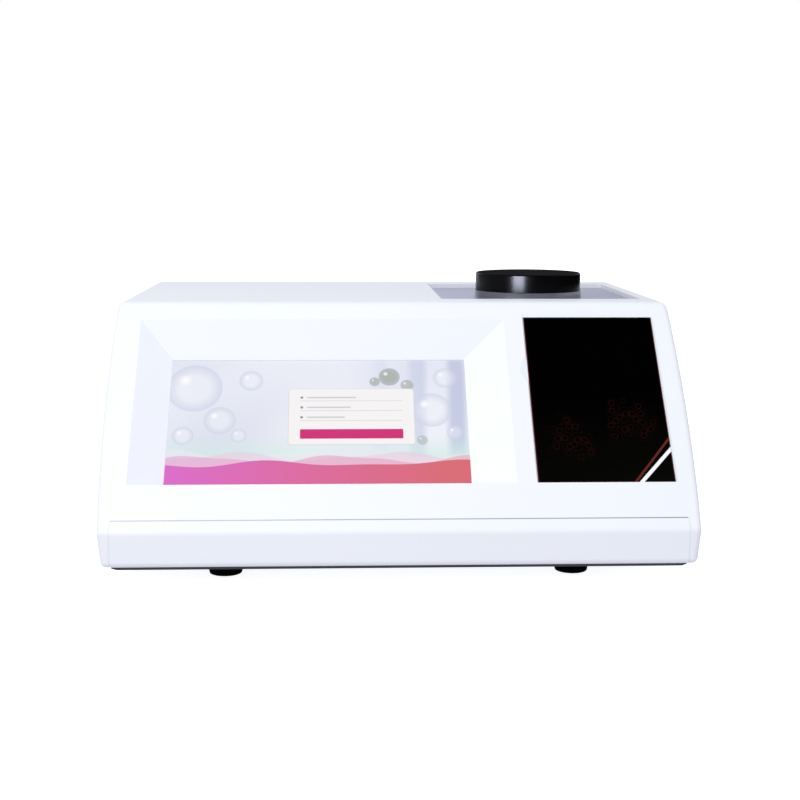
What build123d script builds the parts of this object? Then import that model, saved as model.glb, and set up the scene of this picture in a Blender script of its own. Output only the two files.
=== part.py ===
from build123d import *
import math
import os

# Benchtop refractometer. Millimetres, +X right, -Y front, +Z up, origin on the bench under the middle.

# Housing form
overall_width = 434.0
overall_depth = 380.0
top_level = 190.0
foot_height = 12.5
base_plate_thickness = 2.0
base_plate_setback = 1.5
housing_wall = 3.0
side_crown_radius = 926.0
side_crown_level = 121.0
slope_angle = 48.0
crease_level = 40.0
groove_up_slope = 9.7
groove_width = 0.8
top_edge_radius = 12.0
back_edge_radius = 7.0
side_edge_radius = 5.0
crease_radius = 5.5
bottom_edge_radius = 4.5
bottom_rim_setback = 8.0
bottom_rim_taper = 6.5
top_ribs = (-150.0, -90.0, -30.0)
top_rib_thickness = 2.0
top_rib_height = 7.0
top_rib_front = -25.0

# Base tray
chin_half_width = 204.0
floor_thickness = 3.0
floor_clearance = 0.4
lip_thickness = 2.0
lip_reach = 6.5
chin_ribs = 7
chin_rib_thickness = 2.5
chin_rib_reach = 14.0
standoff_height = 8.0
standoff_radius = 3.9
standoff_inset = 5.0
floor_vents = 10
floor_vent_pitch = 9.0
floor_vent_size = (3.0, 60.0)
floor_vent_start = (-60.0, -103.0)

# Screen pocket, measured up the slope from the crease and inwards from its face
pocket_left = -195.5
pocket_right = 84.0
pocket_bottom = 38.7
pocket_top = 185.2
pocket_depth = 14.0
window_left = -171.0
window_right = 52.8
window_bottom = 45.0
window_top = 156.7
pocket_floor = 1.6
glass_overlap = 6.0
gasket_thickness = 0.5
gasket_setback = 2.0
glass_thickness = 1.8
display_width = 236.0
display_height = 143.0
display_thickness = 5.0
display_notch = 5.0
bracket_thickness = 1.2
bracket_pad_width = 12.0
bracket_pad_inset = 30.0
bracket_pad_margin = 20.0
bracket_gap = 0.5
bracket_flange = 8.0
bracket_boss_radius = 4.0
bracket_boss_levels = (60.0, 165.0)

# Cover panel beside the screen
panel_left = 99.6
panel_right = 199.7
panel_bottom = 39.5
panel_top = 188.0
panel_thickness = 2.5
panel_sink = 1.5
panel_clearance = 0.2
panel_edge_chamfer = 0.4
panel_side_bevel = 1.2
panel_top_bevel = 5.2
panel_backing = 2.5
scoop_level = 138.0
scoop_length = 27.0
scoop_width = 6.5
scoop_depth = 2.0

# Sample stage on the top
stage_left = 39.0
stage_right = 200.0
stage_front = -22.0
stage_back = 150.0
stage_sink = 3.5
stage_thickness = 2.0
stage_corner_radius = 3.0
stage_clearance = 0.25
stage_x = (stage_left + stage_right) / 2
stage_y = 60.0
well_flange_radius = 45.7
well_flange_height = 5.0
well_body_radius = 22.0
well_body_height = 14.5
well_clearance = 0.5
light_bore_radius = 16.0
dish_radius = 22.0
dish_bottom_radius = 19.0
dish_depth = 7.2
prism_radius = 6.0
prism_thickness = 3.0
prism_fit = 0.05
prism_seat_radius = 4.5
prism_seat_thickness = 2.0
prism_stem_half_width = 3.8
prism_stem_tip_half_width = 1.3
prism_stem_half_depth = 2.0
prism_stem_length = 5.0
cap_radius = 45.0
cap_height = 14.8
cap_edge_chamfer = 1.0
cap_lift_gap = 0.3
liner_radius = 41.6
liner_thickness = 2.5
liner_clearance = 0.1
liner_recess = 0.6

# Optical bench under the stage
block_width = 90.0
block_depth = 64.0
block_height = 62.0
block_corner = 3.0
beam_angle = 50.0
beam_bore_radius = 4.0
side_board_size = (1.6, 36.0, 30.0)
light_board_parts = ((0, 0, 12, 12, 4), (12, -9, 8, 6, 5))
sensor_board_parts = ((0, 0, 24, 10, 3), (-12, -10, 9, 6, 5))
cooler_size = 20.0
cooler_spacing = 26.0
cooler_thickness = 3.8
cooler_rise = 4.0
sink_width = 64.0
sink_height = 56.0
sink_base = 5.0
sink_fin_length = 30.0
sink_fins = 11
sink_fin_thickness = 1.4
chassis_sheet = 2.0
chassis_flange = 14.0
chassis_margin = 6.0

# Rear opening and its panel
rear_width = 372.0
rear_bottom = 34.0
rear_top = 162.0
rear_sink = 6.0
rear_panel_thickness = 2.0
rear_panel_gap = 0.3
rear_ledge = 8.0
rear_ledge_thickness = 3.0
rear_corner_radius = 4.0
rear_boss_side = 8.0
rear_boss_length = 9.0
rear_boss_positions = (-180.0, 0.0, 180.0)
rear_vents = 13
rear_vent_pitch = 9.5
rear_vent_size = (3.0, 44.0)
rear_vent_start = -72.0
rear_vent_level = 122.0

# Cooling fan
fan_x = 110.0
fan_z = 98.0
fan_size = 80.0
fan_thickness = 25.0
fan_corner_radius = 4.0
fan_bore_radius = 38.3
fan_tip_gap = 1.0
fan_hub_radius = 17.5
fan_blades = 5
fan_blade_overlap = 1.25
fan_blade_chord = 27.0
fan_blade_pitch = 36.0
fan_blade_bow = 3.2
fan_blade_thickness = 1.6
fan_shaft_radius = 1.5
fan_bearing_fit = 0.08
fan_motor_thickness = 3.0
fan_strut_width = 4.0
grille_rows = 9
grille_pitch = 8.2
grille_slot_height = 4.6
grille_bar_width = 4.0

# Mains inlet and power switch
inlet_x = -150.0
inlet_z = 62.0
inlet_body = (27.0, 19.5, 22.0)
inlet_flange = (31.0, 24.0, 2.2)
inlet_cavity = (24.4, 16.6, 16.2)
inlet_corner_cut = 4.5
inlet_pin = (2.0, 4.0, 11.0)
inlet_pin_places = ((-7.0, -1.8), (0.0, 2.6), (7.0, -1.8))
cutout_clearance = 0.25
switch_z = 102.0
switch_frame_wall = 1.2
switch_flange_rim = 1.6
switch_flange_thickness = 1.6
switch_body_depth = 16.0
switch_opening_depth = 4.0
rocker_width = 10.4
rocker_radius = 9.2
rocker_gap = 0.3
rocker_tilt = 8.0
rocker_dish = 2.2
rocker_skirt = 2.5
rocker_pin_radius = 1.25
rocker_pin_fit = 0.06
rocker_pin_gap = 0.2
rocker_pivot_sink = 2.0

# Interface ports on their board
interface_left = -72.0
interface_right = 42.0
interface_front = 130.0
interface_level = 52.0
interface_back_gap = 0.5
board_thickness = 1.6
usb_positions = (-58.0, -37.0)
usb_shell = (14.5, 7.0, 17.5)
usb_reach = 1.5
usb_wall = 0.6
usb_tongue = (11.2, 1.9)
network_x = -13.0
network_shell = (16.0, 13.5, 16.0)
network_reach = 1.0
network_cavity = (12.0, 8.2, 11.5)
network_cavity_rise = 0.6
network_latch = (5.0, 2.6)
serial_x = 20.0
serial_flange = (30.8, 12.5, 1.2)
serial_body = (19.2, 10.8, 12.0)
serial_shell_wide = 16.9
serial_shell_height = 8.3
serial_shell_reach = 4.6
serial_shell_wall = 0.6
serial_shell_lean = 1.6
serial_shell_corner = 1.2
serial_post_spacing = 25.0
serial_post_radius = 2.6
serial_pin_side = 1.0
serial_pin_pitch = 2.77
serial_pin_rows = ((1.4, 5), (-1.4, 4))

# Boards and power supply
main_board_left = -112.0
main_board_right = 48.0
main_board_front = -70.0
main_board_back = 50.0
processor = (-55.0, -25.0, -25.0, 5.0, 5.0)
transformer = (12.0, 30.0, -15.0, 3.0, 14.0)
capacitors = 3
capacitor_row = (-100.0, -55.0, 14.0)
capacitor_radius = 5.0
capacitor_height = 16.0
plug_sockets = 3
plug_socket = (24.0, 8.0, 9.0)
plug_socket_row = (-84.0, 38.0, 34.0)
supply_left = -196.0
supply_right = -120.0
supply_front = 20.0
supply_back = 140.0
supply_height = 32.0
supply_sheet = 1.2
supply_strip = 10.0
supply_strip_inset = 8.0
supply_strip_height = 13.0
supply_slot_margin = 16.0
supply_slots = 9
supply_slot_pitch = 7.0
supply_slot_width = 2.5

# Feet and the bosses that hold the housing to its tray
foot_x = 126.8
foot_front_y = -148.0
foot_rear_y = 150.0
foot_radius = 12.6
housing_boss_radius = 5.4
housing_boss_height = 30.0
housing_boss_x = 196.0
housing_boss_front_y = -150.0
housing_boss_rear_y = 168.0
housing_web = 3.0

# Values that follow
overlap = 1.0
housing_bottom = foot_height + base_plate_thickness
front_y = -overall_depth / 2
back_y = overall_depth / 2
floor_top = housing_bottom + floor_thickness
glass_depth = pocket_depth + pocket_floor + gasket_thickness
display_depth = glass_depth + glass_thickness
bracket_depth = display_depth + display_thickness
bracket_seat = bracket_depth + bracket_gap
bracket_left = pocket_left - 1.5 * bracket_boss_radius
bracket_right = pocket_right + 1.8 * bracket_boss_radius
plate_top = top_level - stage_sink
well_top = plate_top + well_flange_height
dish_bottom = well_top - dish_depth
well_bottom = plate_top - well_body_height
prism_bottom = dish_bottom - prism_thickness
block_bottom = well_bottom - block_height
beam_exit_level = prism_bottom - block_width / 2 / math.tan(math.radians(beam_angle))
cooler_level = well_bottom - block_height / 2 + cooler_rise
cap_bottom = well_top + cap_lift_gap
panel_face_y = back_y - rear_sink
panel_inner_y = panel_face_y - rear_panel_thickness
rear_height = rear_top - rear_bottom
rear_middle = (rear_bottom + rear_top) / 2
interface_top = interface_level + board_thickness
board_level = floor_top + standoff_height
serial_z = interface_top + serial_body[1] / 2
serial_face_y = panel_face_y + serial_flange[2]
switch_body_width = rocker_width + 2 * rocker_gap + 2 * switch_frame_wall
switch_body_height = 2 * (rocker_radius + rocker_gap + switch_frame_wall)
rocker_pivot_y = panel_face_y - rocker_pivot_sink

slope_frame = Plane(
    origin=(0, front_y, crease_level),
    x_dir=(1, 0, 0),
    z_dir=(0, -math.sin(math.radians(slope_angle)), math.cos(math.radians(slope_angle))),
).location


def block(x0, x1, y0, y1, z0, z1):
    centre = Pos((x0 + x1) / 2, (y0 + y1) / 2, (z0 + z1) / 2)
    return centre * Box(x1 - x0, y1 - y0, z1 - z0)


def slope_block(x0, x1, s0, s1, d0, d1):
    """A block on the slope: s runs up it from the crease, d runs inwards from its face."""
    centre = Pos((x0 + x1) / 2, (s0 + s1) / 2, -(d0 + d1) / 2)
    return slope_frame * centre * Box(x1 - x0, s1 - s0, d1 - d0)


def slope_corners(x0, x1, s0, s1, depth):
    places = [(x0, s0), (x1, s0), (x1, s1), (x0, s1)]
    return [(slope_frame * Pos(x, s, -depth)).position for x, s in places]


def level_corners(half_x, half_y, level):
    places = [(-half_x, -half_y), (half_x, -half_y), (half_x, half_y), (-half_x, half_y)]
    return [(x, y, level) for x, y in places]


def frustum(first, second):
    """A solid with flat sides between two parallel rectangles, each given by its corners."""
    sides = [(first[i], first[i - 1], second[i - 1], second[i]) for i in range(4)]
    faces = [Face(Wire.make_polygon(points)) for points in (first, second, *sides)]
    return Solid(Shell(faces))


def upright(x, y, z0, z1, radius):
    return Pos(x, y, (z0 + z1) / 2) * Cylinder(radius, z1 - z0)


def along_y(x, z, y0, y1, radius):
    return Pos(x, (y0 + y1) / 2, z) * Rot(90, 0, 0) * Cylinder(radius, y1 - y0)


def pillar(radius, length, sides):
    """A straight prism about Z, centred, its corners on the radius."""
    return extrude(RegularPolygon(radius, sides), amount=length / 2, both=True)


def rear_plate(width, height, y0, y1, x, z, radius=0.0):
    """A plate or cut-out parallel to the rear panel, between two depths."""
    outline = RectangleRounded(width, height, radius) if radius else Rectangle(width, height)
    return extrude(Pos(x, y1, z) * Rot(90, 0, 0) * outline, amount=y1 - y0)


def turned(points, x, y):
    """A part turned about an upright axis, from the points of its half section."""
    section = Plane.XZ * Polygon(*points, align=None)
    return Pos(x, y, 0) * revolve(section, axis=Axis.Z)


def half_width(level, inset=0.0):
    """Half the housing's width at a level: the sides are slightly crowned."""
    radius = side_crown_radius - inset
    return overall_width / 2 - side_crown_radius + math.sqrt(radius**2 - (level - side_crown_level) ** 2)


def slope_level(y, depth=0.0):
    """Height of the slope's face, or of a face parallel to it at a depth."""
    angle = math.radians(slope_angle)
    return crease_level + (y - front_y) * math.tan(angle) - depth / math.cos(angle)


def side_profile(inset, bottom):
    """The body seen from the side, as a face in the YZ plane."""
    angle = math.radians(slope_angle)
    front = front_y + inset
    back = back_y - inset
    top = top_level - inset
    bend = slope_level(front, inset)
    top_front = front_y + (top - crease_level + inset / math.cos(angle)) / math.tan(angle)
    outline = [(front, bottom), (front, bend), (top_front, top), (back, top), (back, bottom)]
    face = Plane.YZ * Polygon(*outline, align=None)
    upper = [v for v in face.vertices() if v.Z > top - 1]
    upper.sort(key=lambda v: v.Y)
    face = fillet(upper[0], top_edge_radius - inset)
    rear = max(face.vertices(), key=lambda v: v.Y + v.Z)
    return fillet(rear, back_edge_radius - inset)


def front_outline(inset, bottom):
    """The body seen from the front, with its crowned sides, as a face in the XZ plane."""
    top = top_level + 1
    low = half_width(bottom, inset)
    mid = half_width(side_crown_level, inset)
    high = half_width(top, inset)
    outline = [
        Line((-low, 0, bottom), (low, 0, bottom)),
        ThreePointArc((low, 0, bottom), (mid, 0, side_crown_level), (high, 0, top)),
        Line((high, 0, top), (-high, 0, top)),
        ThreePointArc((-high, 0, top), (-mid, 0, side_crown_level), (-low, 0, bottom)),
    ]
    return make_face(outline)


def side_edges(form, limit):
    """The edges near the two sides, without those at the foot and the shortest."""
    return [
        e for e in form.edges()
        if abs(e.center().X) > limit and e.center().Z > housing_bottom + 1 and e.length > 2
    ]


def body_form():
    """The closed outer form that the housing and the chin are cut from."""
    profile = side_profile(0, housing_bottom)
    outline = front_outline(0, housing_bottom)
    form = extrude(profile, amount=overall_width / 2, both=True)
    form = form & extrude(outline, amount=overall_depth, both=True)
    long_edges = [e for e in form.edges() if e.length > overall_width / 2]
    crease = [e for e in long_edges if abs(e.center().Z - crease_level) < 0.1]
    form = fillet(crease, crease_radius)
    # The side edges are rounded in three flats that touch their radius, which keeps the facets few
    limit = half_width(housing_bottom) - 1
    middle_flat = side_edge_radius * (2 - math.sqrt(2))
    outer_flats = side_edge_radius * (math.tan(math.radians(22.5)) - math.tan(math.radians(11.25)))
    form = chamfer(side_edges(form, limit), middle_flat)
    form = chamfer(side_edges(form, limit - 2 * side_edge_radius), outer_flats)
    foot = [e for e in form.edges() if e.center().Z < housing_bottom + 0.01]
    return fillet(foot, bottom_edge_radius)


def cavity_form():
    """The space inside the shell, drawn in at its foot to follow the rounded bottom edge."""
    low = housing_bottom - 1
    profile = side_profile(housing_wall, low)
    outline = front_outline(housing_wall, low)
    form = extrude(profile, amount=overall_width / 2, both=True)
    form = form & extrude(outline, amount=overall_depth, both=True)
    rim_x = half_width(housing_bottom) - bottom_rim_setback
    rim_y = back_y - bottom_rim_setback
    wide_x = half_width(housing_bottom) + 1
    wide_y = back_y + 1
    rise = housing_bottom + bottom_rim_taper * 2
    rim = block(-rim_x, rim_x, -rim_y, rim_y, low, housing_bottom)
    collar = level_corners(rim_x, rim_y, housing_bottom)
    taper = rim + frustum(collar, level_corners(wide_x, wide_y, rise))
    upper = block(-wide_x, wide_x, -wide_y, wide_y, rise, top_level + 1)
    return form & (taper + upper)


def chin_region(gap, half_span):
    """Everything in front of and below the groove, which runs square to the slope."""
    angle = math.radians(slope_angle)
    reach = groove_up_slope + gap
    y = front_y + reach * math.cos(angle)
    z = crease_level + reach * math.sin(angle)
    deep = 4 * housing_wall
    out = 8 * housing_wall
    inner = (y + deep * math.sin(angle), z - deep * math.cos(angle))
    outer = (y - out * math.sin(angle), z + out * math.cos(angle))
    points = [outer, inner, (inner[0], 0), (outer[0] - out, 0), (outer[0] - out, outer[1])]
    return extrude(Plane.YZ * Polygon(*points, align=None), amount=half_span, both=True)


def pocket_corners(depth, grow=0.0):
    """The screen pocket's four walls at a depth: they lean in towards the window and meet in mitres."""
    share = depth / pocket_depth
    left = pocket_left + (window_left - pocket_left) * share
    right = pocket_right + (window_right - pocket_right) * share
    bottom = pocket_bottom + (window_bottom - pocket_bottom) * share
    top = pocket_top + (window_top - pocket_top) * share
    return slope_corners(left - grow, right + grow, bottom - grow, top + grow, depth)


def bracket_places():
    for x in (bracket_left, bracket_right):
        for level in bracket_boss_levels:
            yield x, level


def add_screen_pocket(shell):
    seat = glass_overlap + 2 * housing_wall
    bottom_depth = pocket_depth + pocket_floor
    wall = housing_wall
    tub = frustum(pocket_corners(overlap, wall), pocket_corners(pocket_depth, wall))
    flange = slope_block(
        window_left - seat, window_right + seat, window_bottom - seat, window_top + seat,
        pocket_depth - overlap, bottom_depth,
    )
    shell = shell + tub + flange
    boss_start = housing_wall - overlap
    for x, level in bracket_places():
        place = slope_frame * Pos(x, level, -(boss_start + bracket_seat) / 2)
        shell = shell + place * pillar(bracket_boss_radius, bracket_seat - boss_start, 8)
    mouth = frustum(pocket_corners(-overlap), pocket_corners(pocket_depth))
    window = slope_block(
        window_left, window_right, window_bottom, window_top, pocket_depth - overlap, bottom_depth + overlap,
    )
    return shell - mouth - window


def add_panel_recess(shell):
    fit = panel_clearance
    rim = 1.2 * housing_wall
    floor = panel_sink + panel_thickness
    backing = slope_block(
        panel_left - rim, panel_right + rim, panel_bottom - rim, panel_top + rim,
        housing_wall - overlap, floor + panel_backing,
    )
    shell = shell + backing
    seat = slope_block(
        panel_left - fit, panel_right + fit, panel_bottom - fit, panel_top + fit, panel_sink, floor
    )
    bevel_floor = slope_corners(
        panel_left - fit, panel_right + fit, panel_bottom - fit, panel_top + fit, panel_sink
    )
    bevel_mouth = slope_corners(
        panel_left - panel_side_bevel, panel_right + panel_side_bevel,
        panel_bottom - panel_side_bevel / 2, panel_top + panel_top_bevel, 0,
    )
    return shell - seat - frustum(bevel_floor, bevel_mouth) - thumb_scoop()


def thumb_scoop():
    """A tilted cylinder leaves the scoop beside the panel's edge, deepest at the edge."""
    chord = scoop_length / 2
    radius = (chord**2 + scoop_depth**2) / (2 * scoop_depth)
    tilt = math.degrees(math.atan2(scoop_depth, scoop_width))
    cutter = Rot(0, 90, 0) * Cylinder(radius, 6 * scoop_width)
    place = Pos(panel_left, scoop_level, -scoop_depth) * Rot(0, tilt, 0) * Pos(0, 0, radius)
    keep = slope_block(
        panel_left - 2 * scoop_width, panel_left + overlap / 2,
        scoop_level - scoop_length, scoop_level + scoop_length, -overlap, 2 * scoop_depth,
    )
    return (slope_frame * place * cutter) & keep


def add_stage_recess(shell):
    floor = plate_top - stage_thickness
    rim = housing_wall + stage_clearance
    width = stage_right - stage_left + 2 * stage_clearance
    depth = stage_back - stage_front + 2 * stage_clearance
    middle = (stage_front + stage_back) / 2
    tub = block(
        stage_left - rim, stage_right + rim, stage_front - rim, stage_back + rim,
        floor - housing_wall, top_level - overlap,
    )
    recess = Pos(stage_x, middle, floor) * RectangleRounded(width, depth, stage_corner_radius)
    hole = upright(stage_x, stage_y, floor - 2 * housing_wall, top_level, well_body_radius + well_clearance)
    return (shell + tub) - extrude(recess, amount=2 * stage_sink + stage_thickness) - hole


def rear_boss_places():
    for x in rear_boss_positions:
        for z in (rear_bottom + rear_ledge / 2, rear_top - rear_ledge / 2):
            yield x, z


def add_rear_frame(shell):
    """The recessed opening at the back, with a ledge and six bosses that the panel is screwed to."""
    ledge_y = panel_inner_y - rear_ledge_thickness
    rim = 2 * housing_wall
    shell = shell + rear_plate(
        rear_width + rim, rear_height + rim, ledge_y, back_y - overlap, 0, rear_middle,
    )
    side = rear_boss_side
    for x, z in rear_boss_places():
        shell = shell + rear_plate(side, side, ledge_y - rear_boss_length, panel_inner_y - overlap, x, z)
    shell = shell - rear_plate(
        rear_width, rear_height, panel_inner_y, back_y + overlap, 0, rear_middle, rear_corner_radius
    )
    return shell - rear_plate(
        rear_width - 2 * rear_ledge, rear_height - 2 * rear_ledge, ledge_y - 2 * rear_boss_length, back_y,
        0, rear_middle,
    )


def housing_boss_places():
    for x in (-housing_boss_x, housing_boss_x):
        for y in (housing_boss_front_y, housing_boss_rear_y):
            yield x, y


def add_housing_bosses(shell):
    """The pillars that the tray is screwed to, each webbed to its side wall."""
    bottom = floor_top + floor_clearance
    top = bottom + housing_boss_height
    for x, y in housing_boss_places():
        wall_x = math.copysign(half_width(bottom) - housing_wall / 2, x)
        boss = Pos(x, y, (bottom + top) / 2) * pillar(housing_boss_radius, housing_boss_height, 8)
        web = block(
            min(x, wall_x), max(x, wall_x), y - housing_web / 2, y + housing_web / 2,
            bottom + 2 * bottom_rim_taper, top,
        )
        shell = shell + boss + web
    return shell


def make_upper_housing(form, cavity):
    shell = add_screen_pocket(form - cavity)
    shell = add_panel_recess(shell)
    shell = add_stage_recess(shell)
    shell = add_rear_frame(shell)
    shell = add_housing_bosses(shell)
    under_top = top_level - housing_wall
    half = top_rib_thickness / 2
    back = panel_inner_y - 4 * housing_wall
    for x in top_ribs:
        rib = block(x - half, x + half, top_rib_front, back, under_top - top_rib_height, under_top + overlap)
        shell = shell + rib
    return shell - chin_region(groove_width / 2, chin_half_width + groove_width)


def standoff_places():
    """Where the boards and the power supply stand: x, y and the level that carries each."""
    inset = standoff_inset
    for x in (main_board_left + inset, main_board_right - inset):
        for y in (main_board_front + inset, main_board_back - inset):
            yield x, y, board_level
    for x in (supply_left + inset, supply_right - inset):
        for y in (supply_front + inset, supply_back - inset):
            yield x, y, board_level
    for x in (interface_left + inset, interface_right - inset):
        for y in (interface_front + inset, panel_inner_y - 2 * inset):
            yield x, y, interface_level


def floor_vent_cuts():
    """The slots that let air in through the base plate and the tray's floor."""
    width, length = floor_vent_size
    x, y = floor_vent_start
    for index in range(floor_vents):
        place = Pos(x + index * floor_vent_pitch, y, (foot_height + floor_top) / 2)
        yield place * Box(width, length, floor_top - foot_height + 2 * overlap)


def make_base_tray(form, cavity):
    chin = (form - cavity) & chin_region(-groove_width / 2, chin_half_width)
    rim_x = half_width(housing_bottom) - bottom_rim_setback - floor_clearance
    rim_y = back_y - bottom_rim_setback - floor_clearance
    toe_y = front_y + bottom_edge_radius
    floor_y = front_y + 2 * bottom_edge_radius
    floor = block(-rim_x, rim_x, floor_y, rim_y, housing_bottom, floor_top)
    toe_back = front_y + 3 * bottom_edge_radius
    toe = block(-chin_half_width, chin_half_width, toe_y, toe_back, housing_bottom, floor_top)
    lip_depth = housing_wall + floor_clearance
    lip_back = lip_depth + lip_thickness
    span = chin_half_width - 2 * housing_wall
    edge = groove_up_slope - groove_width / 2
    lip_root = slope_block(-span, span, housing_wall, edge - overlap, housing_wall - overlap, lip_back)
    lip_top = groove_up_slope + lip_reach
    lip = slope_block(-span, span, edge - 2 * overlap, lip_top, lip_depth, lip_back)
    tray = chin + floor + toe + lip_root + lip
    rib_foot = front_y + housing_wall - overlap
    rib = [
        (rib_foot, floor_top - overlap), (rib_foot, crease_level - 2 * housing_wall),
        (rib_foot + chin_rib_reach, floor_top - overlap),
    ]
    rib_face = Plane.YZ * Polygon(*rib, align=None)
    for index in range(chin_ribs):
        x = (2 * index / (chin_ribs - 1) - 1) * (span - 2 * chin_rib_reach)
        tray = tray + Pos(x, 0, 0) * extrude(rib_face, amount=chin_rib_thickness / 2, both=True)
    root = floor_top - overlap
    for x, y, level in standoff_places():
        tray = tray + Pos(x, y, (root + level) / 2) * pillar(standoff_radius, level - root, 6)
    for slot in floor_vent_cuts():
        tray = tray - slot
    return tray


def make_base_plate():
    rim_x = half_width(housing_bottom) - bottom_edge_radius - base_plate_setback
    rim_y = back_y - bottom_edge_radius
    plate = block(-rim_x, rim_x, -rim_y, rim_y, foot_height, housing_bottom)
    uprights = plate.edges().filter_by(Axis.Z)
    plate = chamfer(uprights, bottom_edge_radius)
    for slot in floor_vent_cuts():
        plate = plate - slot
    return plate


def make_feet():
    """Four rubber feet, screwed to the base plate."""
    places = [(x, y) for x in (-foot_x, foot_x) for y in (foot_front_y, foot_rear_y)]
    return [upright(x, y, 0, foot_height, foot_radius) for x, y in places]


def make_touch_glass():
    grow = glass_overlap
    return slope_block(
        window_left - grow, window_right + grow, window_bottom - grow, window_top + grow,
        glass_depth, display_depth,
    )


def make_display_gasket():
    outer = glass_overlap
    inner = gasket_setback
    start = glass_depth - gasket_thickness
    rim = slope_block(
        window_left - outer, window_right + outer, window_bottom - outer, window_top + outer,
        start, glass_depth,
    )
    opening = slope_block(
        window_left - inner, window_right + inner, window_bottom - inner, window_top + inner,
        start - overlap, glass_depth + overlap,
    )
    return rim - opening


def make_display_module():
    """The liquid crystal panel: a thin tray, notched at its four corners where its lugs were cut away."""
    notch = display_notch
    left = (window_left + window_right - display_width) / 2
    bottom = (window_bottom + window_top - display_height) / 2
    right = left + display_width
    top = bottom + display_height
    panel = slope_block(left, right, bottom, top, display_depth, bracket_depth)
    start = display_depth + overlap
    for x in (left, right - notch):
        for s in (bottom, top - notch):
            panel = panel - slope_block(x, x + notch, s, s + notch, start, bracket_depth + 1)
    return panel


def make_display_bracket():
    """A pressed steel plate across the back of the display, with turned flanges for stiffness."""
    back = bracket_seat + bracket_thickness
    margin = 1.2 * bracket_boss_radius
    left = bracket_left - margin
    right = bracket_right + margin
    bottom = bracket_boss_levels[0] - 2 * margin
    top = bracket_boss_levels[1] + 2 * margin
    frame = slope_block(left, right, bottom, top, bracket_seat, back)
    for s in (bottom, top - bracket_thickness):
        end = s + bracket_thickness
        frame = frame + slope_block(left, right, s, end, bracket_seat, bracket_seat + bracket_flange)
    wide = bracket_pad_width
    low = bottom + bracket_pad_margin
    high = top - bracket_pad_margin
    for x in (left + bracket_pad_inset, right - bracket_pad_inset - wide):
        frame = frame + slope_block(x, x + wide, low, high, bracket_depth, bracket_seat + bracket_gap / 2)
    return frame


def make_cover_panel():
    floor = panel_sink + panel_thickness
    panel = slope_block(panel_left, panel_right, panel_bottom, panel_top, panel_sink, floor)
    face = [e for e in panel.edges() if (slope_frame.inverse() * e).center().Z > -panel_sink - 0.01]
    return chamfer(face, panel_edge_chamfer)


def make_stage_plate():
    middle = (stage_front + stage_back) / 2
    outline = RectangleRounded(stage_right - stage_left, stage_back - stage_front, stage_corner_radius)
    bottom = plate_top - stage_thickness
    plate = extrude(Pos(stage_x, middle, bottom) * outline, amount=stage_thickness)
    return plate - upright(stage_x, stage_y, bottom - 1, plate_top + 1, well_body_radius + well_clearance)


def make_sample_well():
    """A turned dish whose flange lies on the stage plate and whose body reaches down to the optics."""
    bore = prism_radius + prism_fit
    seat = prism_bottom - prism_seat_thickness
    points = [
        (light_bore_radius, well_bottom), (well_body_radius, well_bottom), (well_body_radius, plate_top),
        (well_flange_radius, plate_top), (well_flange_radius, well_top), (dish_radius, well_top),
        (dish_bottom_radius, dish_bottom), (bore, dish_bottom), (bore, prism_bottom),
        (prism_seat_radius, prism_bottom), (prism_seat_radius, seat), (light_bore_radius, seat),
    ]
    return turned(points, stage_x, stage_y)


def make_measuring_prism():
    """A sapphire disc whose stem has two facets, one where light enters and one where it leaves."""
    disc = upright(stage_x, stage_y, prism_bottom, dish_bottom, prism_radius)
    wide = prism_stem_half_width
    tip = prism_stem_tip_half_width
    outline = [(-wide, 0), (wide, 0), (tip, -prism_stem_length), (-tip, -prism_stem_length)]
    stem = extrude(Plane.XZ * Polygon(*outline, align=None), amount=prism_stem_half_depth, both=True)
    return disc + Pos(stage_x, stage_y, prism_bottom) * stem


def make_sample_cap():
    """The lift-off cap, with its upper edge chamfered and a recess that holds the liner."""
    top = cap_bottom + cap_height
    edge = cap_edge_chamfer
    recess = liner_radius + liner_clearance
    floor = cap_bottom + liner_recess + liner_thickness
    points = [
        (0, floor), (recess, floor), (recess, cap_bottom), (cap_radius, cap_bottom),
        (cap_radius, top - edge), (cap_radius - edge, top), (0, top),
    ]
    return turned(points, stage_x, stage_y)


def make_cap_liner():
    bottom = cap_bottom + liner_recess
    return upright(stage_x, stage_y, bottom, bottom + liner_thickness, liner_radius)


def beam_bore(side):
    """The slanted bore for light on its way to or from the prism, out through the block's side."""
    angle = math.radians(beam_angle)
    direction = Vector(side * math.sin(angle), 0, -math.cos(angle))
    origin = Vector(stage_x, stage_y, prism_bottom) + direction * block_width / 2
    place = Plane(origin=origin, x_dir=(0, 1, 0), z_dir=direction).location
    return place * Cylinder(beam_bore_radius, block_width)


def make_optics_block():
    half_x = block_width / 2
    half_y = block_depth / 2
    body = block(
        stage_x - half_x, stage_x + half_x, stage_y - half_y, stage_y + half_y, block_bottom, well_bottom
    )
    body = chamfer(body.edges().filter_by(Axis.Z), block_corner)
    return body - beam_bore(-1) - beam_bore(1)


def make_side_board(side, components):
    """A board over the mouth of a beam bore, with what stands on it: y, z, width, height and reach."""
    thick, wide, high = side_board_size
    face = stage_x + side * block_width / 2
    board = Pos(face + side * thick / 2, stage_y, beam_exit_level) * Box(thick, wide, high)
    for y, z, width, height, reach in components:
        place = Pos(face + side * (thick + reach / 2), stage_y + y, beam_exit_level + z)
        board = board + place * Box(reach, width, height)
    return board


def make_thermal_modules():
    back = stage_y + block_depth / 2
    half = cooler_size / 2
    low = cooler_level - half
    high = cooler_level + half
    centres = (stage_x - cooler_spacing / 2, stage_x + cooler_spacing / 2)
    return [block(x - half, x + half, back, back + cooler_thickness, low, high) for x in centres]


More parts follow.
